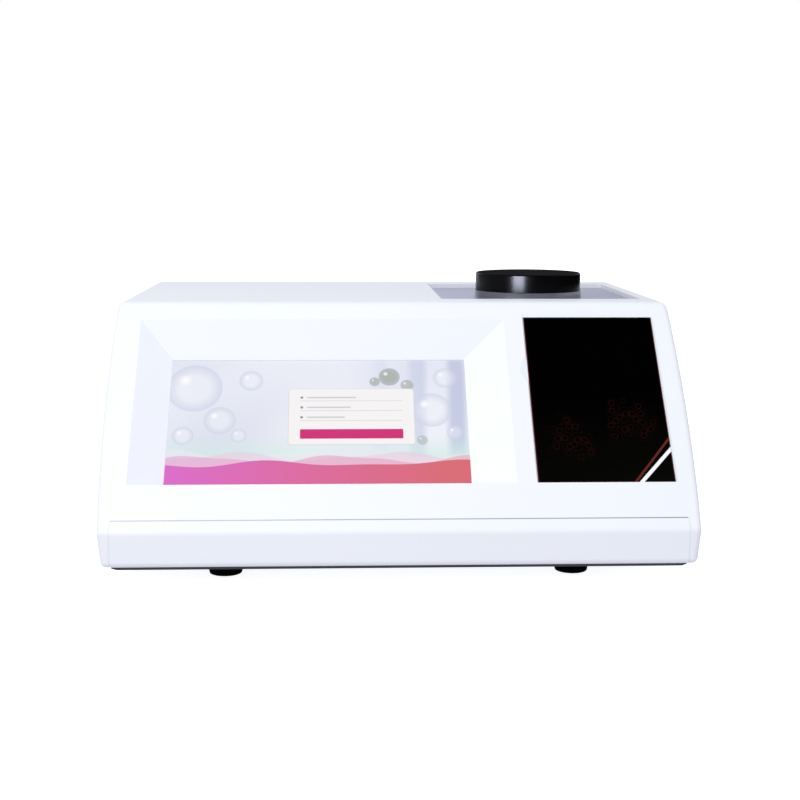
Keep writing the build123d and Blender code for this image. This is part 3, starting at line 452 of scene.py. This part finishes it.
capLow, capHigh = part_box("sample_cap")
stageCentre = ((capLow.x + capHigh.x) / 2, (capLow.y + capHigh.y) / 2)

brushed("stageSteel", {
    "colour": (208, 212, 232), "second": (186, 190, 212), "stretch": (12.0, 1500.0, 1500.0),
    "roughness": (0.24, 0.34), "depth": 0.00002,
}, "stage_plate")
brushed("sheetSteel", {
    "colour": (188, 191, 196), "second": (166, 170, 176), "stretch": (16.0, 900.0, 900.0),
    "roughness": (0.32, 0.45),
}, "display_module", "display_bracket", "optics_chassis", "power_supply")
brushed("blockAluminium", {
    "colour": (206, 209, 213), "second": (188, 191, 196), "stretch": (900.0, 30.0, 900.0),
    "roughness": (0.28, 0.4),
}, "optics_block", "heat_sink")
brushed("pinMetal", {
    "colour": (214, 214, 210), "second": (196, 196, 192), "stretch": (900.0, 60.0, 900.0),
    "roughness": (0.2, 0.3),
}, "inlet_pins")
brushed("portMetal", {
    "colour": (196, 198, 202), "second": (178, 181, 186), "stretch": (700.0, 60.0, 700.0),
    "roughness": (0.26, 0.36),
}, "usb_ports", "network_port", "serial_port")
contactGold = brushed("contactGold", {
    "colour": (228, 188, 104), "second": (210, 168, 86), "stretch": (700.0, 60.0, 700.0),
    "roughness": (0.2, 0.3),
}, "serial_pins")
turned("wellSteel", {
    "colour": (184, 185, 190), "second": (164, 166, 172), "rings": 9000.0, "roughness": (0.18, 0.28),
}, stageCentre, "sample_well")
turned("linerMetal", {
    "colour": (200, 202, 207), "second": (182, 185, 190), "rings": 7000.0, "roughness": (0.22, 0.32),
}, stageCentre, "cap_liner")
turned("capBlack", {
    "colour": (1, 1, 1), "second": (2, 2, 2), "rings": 9000.0, "roughness": (0.19, 0.25),
    "metallic": 0.0, "depth": 0.000004, "shine": 0.10,
    "mattAbove": capHigh.z - 0.0002, "mattBlur": 0.0002, "mattRougher": 0.4, "mattShare": 0.72,
    "mattColour": (15, 15, 16),
}, stageCentre, "sample_cap")
print("metals and cap dressed")


# The crystal in the middle of the dish

crystal = {
    "colour": (236, 240, 250), "second": (222, 230, 246), "cloud": 400.0, "roughness": (0.02, 0.05),
    "clear": 0.85, "bend": 1.76,
}


def crystalFinish():
    shader = Shader("prismCrystal")
    cloud = shader.noise(crystal["cloud"])
    shader.set(Base_Color=shader.mix(cloud, tint(*crystal["colour"]), tint(*crystal["second"])))
    shader.set(Roughness=cloud.between(*crystal["roughness"]))
    shader.set(Transmission_Weight=crystal["clear"], IOR=crystal["bend"])
    dress(shader, "measuring_prism")


crystalFinish()


# The picture on the screen: soft drops behind a card, over waves at the foot

screen = {
    "sky": (219, 221, 238), "skyLight": (243, 244, 250), "mint": (208, 235, 229), "blue": (188, 196, 222),
    "haze": (202, 209, 224), "leaf": (120, 134, 84), "glint": (252, 252, 255),
    "waveLeft": (219, 107, 200), "waveMiddle": (219, 106, 158), "waveRight": (217, 106, 115),
    "wavePale": (236, 196, 222), "waveFaint": (236, 232, 240),
    "card": (244, 242, 243), "cardEdge": (222, 216, 222), "line": (206, 202, 208), "bar": (208, 48, 118),
    "mark": (150, 146, 156),
    "soft": 0.0004,              # the blur of each drawn edge, in metres
    "cloud": 9.0, "cloudStretch": (1.0, 0.6, 0.6), "cloudStep": (0.5, 0.5), "cloudBend": 2.0,
    "lightAt": 0.48, "lightWithin": (0.10, 0.45), "lightShare": 0.8,
    "stripes": 46.0, "stripeSwing": (0.9, 0.3), "stripesFrom": (0.80, 0.3), "stripeShare": 0.85,
    "sheen": (9.0, 5.0), "sheenUpTo": (0.35, 0.4), "sheenShare": 0.45,
    "mintUpTo": (0.30, 0.20), "mintShare": 0.9,
    "rampShares": {"waveLeft": 0.0, "waveMiddle": 0.46, "waveRight": 0.92}, "veilShare": 0.55,
    "base": (0.012, 0.012, 0.014, 1.0), "roughness": (0.06, 0.09), "shine": 0.5,
}
dropLook = {  # in shares of the drop's radius, and how strong each part is
    "fillShare": 0.35, "rimFrom": (0.78, 0.5), "rimShare": 0.55,
    "glintShift": 0.35, "glintWithin": (0.16, 0.2), "glintShare": 0.9,
}
drops = [  # place across and up as shares of the screen, radius in metres, and how green it is
    (0.08, 0.78, 0.021, 0.0), (0.17, 0.52, 0.012, 0.0), (0.27, 0.84, 0.009, 0.0),
    (0.235, 0.40, 0.006, 0.0), (0.88, 0.60, 0.015, 0.0), (0.93, 0.86, 0.009, 0.0),
    (0.74, 0.87, 0.008, 0.62), (0.955, 0.42, 0.006, 0.0), (0.05, 0.40, 0.008, 0.0),
    (0.80, 0.80, 0.005, 0.50), (0.69, 0.83, 0.004, 0.55), (0.845, 0.36, 0.004, 0.40),
]
waves = [  # level, two swells of height, number and start, how strong, and colour, from the rear one on
    (0.265, (0.036, 1.5, 2.4), (0.014, 3.3, 0.5), 0.55, "waveFaint"),
    (0.235, (0.030, 1.9, 5.2), (0.012, 3.6, 2.0), 0.50, "wavePale"),
    (0.215, (0.028, 2.1, 0.3), (0.010, 4.2, 1.1), 0.65, "veil"),
    (0.182, (0.018, 1.7, 4.1), (0.010, 2.9, 2.2), 1.0, "band"),
]
card = {
    "left": 0.40, "low": 0.33, "width": 0.42, "height": 0.44, "corner": 0.002,  # shares of the screen
    "edgeShift": (-0.0005, -0.0007), "edgeGrow": 0.001, "edgeCorner": 0.0022,
    "indent": 0.09, "ruled": 0.82, "rows": (0.78, 0.60, 0.42),                  # shares of the card
    "ruleSize": (0.0004, 0.0001), "markUp": 0.0021, "markSize": (0.0022, 0.0011),
    "wordPlace": (0.005, 0.0026), "wordSize": (0.0012, 0.0006), "wordLength": (0.2, 0.25),
    "barLow": 0.10, "barHeight": 0.17, "barCorner": 0.0008,
}


def drawSky(shader, u, v, cloud):
    colour = shader.mix(cloud.above(*screen["cloudStep"]), tint(*screen["sky"]), tint(*screen["skyLight"]))
    light = (u - screen["lightAt"]).size().below(*screen["lightWithin"]) * screen["lightShare"]
    colour = shader.mix(light, colour, tint(*screen["skyLight"]))
    bend = cloud * screen["cloudBend"]
    swing, level = screen["stripeSwing"]
    stripes = ((u * screen["stripes"] + bend).sine() * swing + level).limited()
    stripes = stripes * u.above(*screen["stripesFrom"])
    colour = shader.mix(stripes * screen["stripeShare"], colour, tint(*screen["blue"]))
    across, down = screen["sheen"]
    sheen = ((u * across - v * down + bend).sine() * 0.5 + 0.5) * u.below(*screen["sheenUpTo"])
    colour = shader.mix(sheen * screen["sheenShare"], colour, tint(*screen["haze"]))
    return shader.mix(v.below(*screen["mintUpTo"]) * screen["mintShare"], colour, tint(*screen["mint"]))


def drawDrop(shader, colour, dx, dy, radius, green):
    far = length(dx, dy)
    inside = far.below(radius, screen["soft"])
    start, blur = dropLook["rimFrom"]
    rim = inside * far.above(radius * start, radius * blur)
    colour = shader.mix(inside * dropLook["fillShare"], colour, tint(*screen["skyLight"]))
    if green > 0:
        colour = shader.mix(inside * green, colour, tint(*screen["leaf"]))
    colour = shader.mix(rim * dropLook["rimShare"], colour, tint(*screen["blue"]))
    shift = radius * dropLook["glintShift"]
    reach, blur = dropLook["glintWithin"]
    glint = length(dx + shift, dy - shift).below(radius * reach, radius * blur)
    return shader.mix(glint * dropLook["glintShare"], colour, tint(*screen["glint"]))


def drawWaves(shader, colour, u, up, tall):
    ramp = [(share, tint(*screen[name])) for name, share in screen["rampShares"].items()]
    band = shader.node("ShaderNodeValToRGB", {"stops": ramp}, {0: u})
    paints = {"waveFaint": tint(*screen["waveFaint"]), "wavePale": tint(*screen["wavePale"]), "band": band}
    paints["veil"] = shader.mix(screen["veilShare"], band, paints["wavePale"])
    for level, *swells, strength, paint in waves:
        height = level
        for rise, count, start in swells:
            height = height + rise * (u * (2 * math.pi * count) + start).sine()
        below = (height * tall - up).above(0.0, screen["soft"])
        colour = shader.mix(below * strength, colour, paints[paint])
    return colour


def drawCard(shader, colour, right, up, wide, tall):
    def draw(colour, name, left, low, width, height, corner):
        # paints a rectangle with rounded corners
        dx = (right - (left + width / 2)).size() - (width / 2 - corner)
        dy = (up - (low + height / 2)).size() - (height / 2 - corner)
        outside = length(dx.most(0.0), dy.most(0.0)) + dx.most(dy).least(0.0) - corner
        return shader.mix(outside.below(0.0, screen["soft"]), colour, tint(*screen[name]))

    left, low = card["left"] * wide, card["low"] * tall
    width, height = card["width"] * wide, card["height"] * tall
    shiftX, shiftY = card["edgeShift"]
    grow = card["edgeGrow"]
    colour = draw(colour, "cardEdge", left + shiftX, low + shiftY, width + grow, height + grow,
                  card["edgeCorner"])
    colour = draw(colour, "card", left, low, width, height, card["corner"])
    inner, ruled = left + card["indent"] * width, card["ruled"] * width
    markSize, markCorner = card["markSize"]
    wordX, wordUp = card["wordPlace"]
    shortest, longer = card["wordLength"]
    for share in card["rows"]:
        y = low + share * height
        colour = draw(colour, "line", inner, y, ruled, *card["ruleSize"])
        colour = draw(colour, "mark", inner, y + card["markUp"], markSize, markSize, markCorner)
        word = (shortest + longer * share) * width
        colour = draw(colour, "line", inner + wordX, y + wordUp, word, *card["wordSize"])
    barLow, barHeight = low + card["barLow"] * height, card["barHeight"] * height
    return draw(colour, "bar", inner, barLow, ruled, barHeight, card["barCorner"])


def screenFinish():
    shader = Shader("screenGlass")
    right, up, wide, tall = slopeValues(shader, "touch_glass", slope["glassLip"])
    u, v = right / wide, up / tall
    cloud = shader.noise(screen["cloud"], vector=shader.stretch(*screen["cloudStretch"]))
    colour = drawSky(shader, u, v, cloud)
    for across, high, radius, green in drops:
        colour = drawDrop(shader, colour, right - across * wide, up - high * tall, radius, green)
    colour = drawWaves(shader, colour, u, up, tall)
    colour = drawCard(shader, colour, right, up, wide, tall)
    shader.set(Base_Color=screen["base"], Roughness=cloud.between(*screen["roughness"]))
    shader.set(Specular_IOR_Level=screen["shine"], Emission_Color=colour, Emission_Strength=1.0)
    dress(shader, "touch_glass")


screenFinish()
print("crystal dressed and screen drawn")


# The black panel: gloss over a faint network of rings, with two stripes across one corner

cover = {
    "black": (0, 0, 0), "deep": (7, 8, 5), "deepUpTo": (0.035, 0.07), "deepShare": 0.8,
    "cells": 138.0, "scatter": 0.72,          # cells in a metre, and how unevenly they lie
    "ring": (39, 10, 10), "ringRadius": 0.30, "ringWidth": (0.045, 0.05), "netShare": 0.8,
    "linkWidth": (0.03, 0.04), "linkBlur": 0.05, "linkShare": 0.7,
    "patch": 0.42, "pull": 0.75, "chosenFrom": (0.84, 0.05),
    "clusters": ((0.024, 0.036, 0.031), (0.074, 0.052, 0.032)),  # across, up, radius
    "rim": (96, 18, 22), "rimWidth": (0.0006, 0.0003), "rimShare": 0.8,
    "stripes": (                              # colour, foot across the panel, angle and width
        ((104, 38, 32), 0.0706, 51.8, 0.0017),
        ((250, 251, 252), 0.0752, 48.4, 0.0027),
    ),
    "stripeBlur": 0.0002, "smear": 30.0, "roughness": (0.07, 0.12), "shine": 0.3,
}


def coverFinish():
    shader = Shader("coverGloss")
    right, up, wide, tall = slopeValues(shader, "cover_panel")
    deep = up.below(*cover["deepUpTo"]) * cover["deepShare"]
    colour = shader.mix(deep, tint(*cover["black"]), tint(*cover["deep"]))

    # a ring in each cell of an uneven net, with links along the cells' borders, only in the two clusters
    flat = shader.node("ShaderNodeCombineXYZ", inputs={0: right * cover["cells"], 1: up * cover["cells"]})
    inputs = {"Vector": flat, "Scale": 1.0, "Randomness": cover["scatter"]}
    near = shader.node("ShaderNodeTexVoronoi", {"voronoi_dimensions": "2D", "feature": "F1"}, inputs)
    settings = {"voronoi_dimensions": "2D", "feature": "DISTANCE_TO_EDGE"}
    border = shader.node("ShaderNodeTexVoronoi", settings, inputs)
    spot = near.other("Position")
    spotX, spotY = shader.axes(spot)[:2]
    chosen = shader.noise(cover["patch"], detail=1.0, vector=spot)
    for across, high, radius in cover["clusters"]:
        far = length(spotX - across * cover["cells"], spotY - high * cover["cells"])
        chosen = chosen + cover["pull"] * (1.0 - (far / (radius * cover["cells"])).limited())
    chosen = chosen.above(*cover["chosenFrom"])
    ring = (near - cover["ringRadius"]).size().below(*cover["ringWidth"])
    link = border.below(*cover["linkWidth"]) * near.above(cover["ringRadius"], cover["linkBlur"])
    net = chosen * ring.most(link * cover["linkShare"]) * cover["netShare"]
    colour = shader.mix(net, colour, tint(*cover["ring"]))

    rim = right.least(wide - right).least(up).below(*cover["rimWidth"])
    colour = shader.mix(rim * cover["rimShare"], colour, tint(*cover["rim"]))
    for paint, foot, angle, width in cover["stripes"]:
        lean = math.radians(angle)
        away = ((right - foot) * math.sin(lean) - up * math.cos(lean)).size()
        colour = shader.mix(away.below(width / 2, cover["stripeBlur"]), colour, tint(*paint))
    smear = shader.noise(cover["smear"], detail=3.0)
    shader.set(Base_Color=colour, Roughness=smear.between(*cover["roughness"]))
    shader.set(Specular_IOR_Level=cover["shine"])
    dress(shader, "cover_panel")


coverFinish()
print("cover panel drawn")


# Small pieces made as meshes: their finishes, and what they share

grooveLineShade = plain("grooveLineShade", {  # painted shade of the groove line across the chin, with painted light at the left, where the key light reaches into the groove
    "colour": (222, 226, 234), "second": (178, 182, 192), "roughness": (0.5, 0.6),
    "paintedShadeFrom": (-0.11, 0.20),
})
# fills the groove down the chin's sides, a touch greyer than the shell as a faint painted shade line
grooveSideShade = plain("grooveSideShade", {
    "colour": (238, 241, 247), "second": (234, 237, 244), "roughness": (0.5, 0.6),
})
screwSteel = brushed("screwSteel", {
    "colour": (198, 200, 204), "second": (176, 179, 184), "stretch": (900.0, 900.0, 60.0),
    "roughness": (0.24, 0.34),
})
markWhite = plain("markWhite", {
    "colour": (238, 238, 234), "second": (228, 228, 224), "roughness": (0.4, 0.5),
})
sharpFrom = math.radians(32)  # a bend of this angle or more shows as an edge


def makePiece(name, form, body, shader):
    bmesh.ops.recalc_face_normals(form, faces=form.faces)
    for edge in form.edges:
        edge.smooth = len(edge.link_faces) == 2 and edge.calc_face_angle() < sharpFrom
    mesh = bpy.data.meshes.new(name)
    form.to_mesh(mesh)
    form.free()
    for face in mesh.polygons:
        face.use_smooth = True
    mesh.materials.append(shader.owner)
    piece = bpy.data.objects.new(name, mesh)
    bpy.context.scene.collection.objects.link(piece)
    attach(piece, body)
    return piece


def lathe(form, points, place, steps=40, closed=False):
    # turns a half section of (radius, height) points about the place's own Z axis
    turns = [2 * math.pi * k / steps for k in range(steps)]
    circle = [(math.cos(turn), math.sin(turn)) for turn in turns]
    rings = []
    for radius, height in points:
        around = circle if radius > 0 else [(0.0, 0.0)]
        rings.append([form.verts.new(place @ Vector((radius * c, radius * s, height))) for c, s in around])
    for low, high in zip(rings, rings[1:] + (rings[:1] if closed else [])):
        for k in range(steps):
            after = (k + 1) % steps
            corners = [low[k % len(low)], low[after % len(low)]]
            corners += [high[after % len(high)], high[k % len(high)]]
            form.faces.new(list(dict.fromkeys(corners)))
    return rings[-1]


def ribbon(form, outer, inner, left, right):
    # a strip of constant width whose side follows two paths of (y, z) points
    rows = [
        [form.verts.new((x, *point)) for x, point in ((left, o), (right, o), (right, i), (left, i))]
        for o, i in zip(outer, inner)
    ]
    for one, two in zip(rows, rows[1:]):
        for k in range(4):
            after = (k + 1) % 4
            form.faces.new((one[k], one[after], two[after], two[k]))
    form.faces.new(rows[0])
    form.faces.new(rows[-1])


# The strip in the groove above the chin and down its two sides, coloured as painted shade of the groove line

seam = {
    "front": -0.190, "crease": 0.040, "creaseRadius": 0.0055, "foot": 0.0145, "footRadius": 0.0045,
    "footEnd": 1.42 * math.pi, "arcSteps": 8,
    "reach": 0.0097, "halfWidth": 0.00038, "side": 0.2044,
    "top": 0.00022, "floor": 0.0026,   # how deep the strip's two faces lie
}


def slopePoint(reach, depth):
    # the point that is so far up the slope from its crease and so deep below its face
    rise = math.radians(slope["angle"])
    y = seam["front"] + reach * math.cos(rise) + depth * math.sin(rise)
    return y, seam["crease"] + reach * math.sin(rise) - depth * math.cos(rise)


def seamPath(depth):
    # down the slope from the groove, round the crease, down the chin and under its foot
    rise = math.radians(slope["angle"])
    tangent = seam["creaseRadius"] * math.tan((math.pi / 2 - rise) / 2)
    footLevel = seam["foot"] + seam["footRadius"]
    points = [slopePoint(reach, depth) for reach in (seam["reach"] + seam["halfWidth"], tangent)]

    def arc(radius, level, start, end):
        for k in range(1, seam["arcSteps"] + 1):
            turn = start + (end - start) * k / seam["arcSteps"]
            y = seam["front"] + radius + (radius - depth) * math.cos(turn)
            points.append((y, level + (radius - depth) * math.sin(turn)))

    arc(seam["creaseRadius"], seam["crease"] - tangent, math.pi / 2 + rise, math.pi)
    points.append((seam["front"] + depth, footLevel))
    arc(seam["footRadius"], footLevel, math.pi, seam["footEnd"])
    return points


def makeSeam():
    form = bmesh.new()
    outer, inner = seamPath(seam["top"]), seamPath(seam["floor"])
    for side in (-seam["side"], seam["side"]):
        ribbon(form, outer, inner, side - seam["halfWidth"], side + seam["halfWidth"])
    makePiece("seamSides", form, "instrument", grooveSideShade)
    form = bmesh.new()
    edges = (seam["reach"] - seam["halfWidth"], seam["reach"] + seam["halfWidth"])
    outer, inner = [[slopePoint(edge, depth) for edge in edges] for depth in (seam["top"], seam["floor"])]
    end = seam["side"] - seam["halfWidth"]
    ribbon(form, outer, inner, -end, end)
    # the grey across the chin is painted shade of the groove line
    makePiece("seamStrip", form, "instrument", grooveLineShade)


# Feet, and the screws that hold them, the rear panel, the fan and the base

feet = {
    "x": 0.1268, "yFront": -0.148, "yRear": 0.150, "steps": 64,
    "recess": 0.0060, "screwScale": 1.3, "screwTurn": 0.5,
    "section": (  # radius and height
        (0.0, 0.0125), (0.0126, 0.0125), (0.0126, 0.0105), (0.0121, 0.0016), (0.0119, 0.0007),
        (0.0116, 0.0002), (0.0112, 0.0), (0.0064, 0.0), (0.0061, 0.0003), (0.0058, 0.0060), (0.0, 0.0060),
    ),
}
screw = {
    "radius": 0.0029, "height": 0.0018, "steps": 32,
    "section": ((0.0, -0.05), (1.0, -0.05), (1.0, 0.35), (0.96, 0.62), (0.84, 0.86), (0.70, 1.0)),
    "crossReach": 0.0018, "crossHalf": 0.00042, "crossDepth": 0.0011, "crossTaper": 0.8,
}
rear = {"face": 0.184, "fanX": 0.110, "fanZ": 0.098, "fanScrews": (-0.03575, 0.03575)}
screwPlaces = {  # x, y, z and turn of each, with turns that differ as on screws driven by hand
    "rearScrew": [
        (x, rear["face"], z, 0.4 * x / 0.18 + 3 * z) for x in (-0.180, 0.0, 0.180) for z in (0.038, 0.158)
    ],
    "fanScrew": [
        (rear["fanX"] + x, rear["face"], rear["fanZ"] + z, 9 * x)
        for x in rear["fanScrews"] for z in rear["fanScrews"]
    ],
    "baseScrew": [(x, y, 0.0125, 5 * y) for x in (-0.196, 0.196) for y in (-0.150, 0.168)],
}


def addScrew(form, place, scale=1.0):
    # a pan head with a rounded rim and a cross recess
    radius, height, steps = screw["radius"] * scale, screw["height"] * scale, screw["steps"]
    rim = lathe(form, [(radius * r, height * h) for r, h in screw["section"]], place, steps)
    reach, half = screw["crossReach"] * scale, screw["crossHalf"] * scale
    outline = []
    for k in range(4):
        c, s = round(math.cos(k * math.pi / 2)), round(math.sin(k * math.pi / 2))
        arm = ((reach, -half), (reach, half), (half, half))
        outline += [(x * c - y * s, x * s + y * c) for x, y in arm]
    floor, taper, count = height - screw["crossDepth"] * scale, screw["crossTaper"], len(outline)
    mouth = [form.verts.new(place @ Vector((x, y, height))) for x, y in outline]
    base = [form.verts.new(place @ Vector((taper * x, taper * y, floor))) for x, y in outline]
    loop = [form.edges.new((mouth[k], mouth[(k + 1) % count])) for k in range(count)]
    loop += [form.edges.get((rim[k], rim[(k + 1) % steps])) for k in range(steps)]
    bmesh.ops.triangle_fill(form, use_beauty=True, edges=loop)
    for k in range(count):
        after = (k + 1) % count
        form.faces.new((mouth[k], mouth[after], base[after], base[k]))
    form.faces.new(base)


def facing(axis, x, y, z, turn):
    # a place whose own Z axis points down or to the back, turned a little about it
    tilt = {"down": math.pi, "back": -math.pi / 2}[axis]
    return Matrix.Translation((x, y, z)) @ Matrix.Rotation(tilt, 4, "X") @ Matrix.Rotation(turn, 4, "Z")


def makeFeet():
    form = bmesh.new()
    places = [(x, y) for x in (-feet["x"], feet["x"]) for y in (feet["yFront"], feet["yRear"])]
    for x, y in places:
        lathe(form, feet["section"], Matrix.Translation((x, y, 0.0)), feet["steps"])
    foot = makePiece("rubberFeet", form, "instrument", footRubber)
    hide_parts("feet")
    for index, (x, y) in enumerate(places):
        form = bmesh.new()
        addScrew(form, facing("down", x, y, feet["recess"], feet["screwTurn"] * index), feet["screwScale"])
        makePiece(f"footScrew{index + 1}", form, "instrument", screwSteel)


def makeScrews():
    for name, places in screwPlaces.items():
        for index, (x, y, z, turn) in enumerate(places):
            form = bmesh.new()
            addScrew(form, facing("down" if name == "baseScrew" else "back", x, y, z, turn))
            makePiece(f"{name}{index + 1}", form, "instrument", screwSteel)


# The ring that seals the crystal in the dish

seal = {
    "steps": 72,
    "section": (  # radius and height
        (0.00595, -0.0001), (0.0067, -0.0001), (0.0067, 0.0001), (0.0065, 0.00022), (0.0061, 0.00022),
        (0.00595, 0.0001),
    ),
}


def makeSeal():
    low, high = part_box("measuring_prism")
    centre = ((low.x + high.x) / 2, (low.y + high.y) / 2, high.z)
    form = bmesh.new()
    lathe(form, seal["section"], Matrix.Translation(centre), seal["steps"], closed=True)
    makePiece("prismSeal", form, "instrument", sealRubber)


# Eight sprung wires under the roof of the network socket

contacts = {
    "count": 8, "pitch": 0.00102, "half": 0.00018, "thick": 0.00022, "x": -0.013, "y": 0.1832, "z": 0.06485,
    "path": ((0.0, 0.0), (-0.0006, -0.0007), (-0.0057, -0.0034), (-0.0087, -0.0028)),  # from y and z on
}


def makeContacts():
    form = bmesh.new()
    path = [(contacts["y"] + y, contacts["z"] + z) for y, z in contacts["path"]]
    under = [(y, z - contacts["thick"]) for y, z in path]
    for k in range(contacts["count"]):
        x = contacts["x"] + (k - (contacts["count"] - 1) / 2) * contacts["pitch"]
        ribbon(form, path, under, x - contacts["half"], x + contacts["half"])
    makePiece("networkContacts", form, "instrument", contactGold)


# A raised bar and ring on the rocker, the generic marks for on and off

rocker = {
    "pivot": (-0.150, 0.182, 0.102),
    "tilt": 8.0,                     # of the rocker at rest, and of each of its two faces, in degrees
    "dish": 0.0022, "level": 0.0050,  # how far its middle stands out, and how far from it a mark lies
    "sunk": -0.0001, "lift": 0.00016, "hole": 0.0011, "radius": 0.0015,
    "barStretch": (0.26, 1.15, 1.0, 1.0),
}


def makeMarks():
    lean = math.radians(rocker["tilt"])
    rest = Matrix.Translation(rocker["pivot"]) @ Matrix.Rotation(-lean, 4, "X")
    out = rocker["dish"] + rocker["level"] * math.tan(lean)
    low, high, hole, radius = rocker["sunk"], rocker["lift"], rocker["hole"], rocker["radius"]
    for name, side in (("rockerBar", 1), ("rockerRing", -1)):
        spot = Matrix.Translation((0.0, out, side * rocker["level"]))
        place = rest @ spot @ Matrix.Rotation(-side * lean, 4, "X") @ Matrix.Rotation(-math.pi / 2, 4, "X")
        form = bmesh.new()
        if name == "rockerRing":
            lathe(form, ((hole, low), (radius, low), (radius, high), (hole, high)), place, closed=True)
        else:
            place = place @ Matrix.Diagonal(rocker["barStretch"])
            lathe(form, ((0.0, low), (radius, low), (radius, high), (0.0, high)), place)
        makePiece(name, form, "rocker", markWhite)


makeSeam()
makeFeet()
makeScrews()
makeSeal()
makeContacts()
makeMarks()
print("small pieces made")
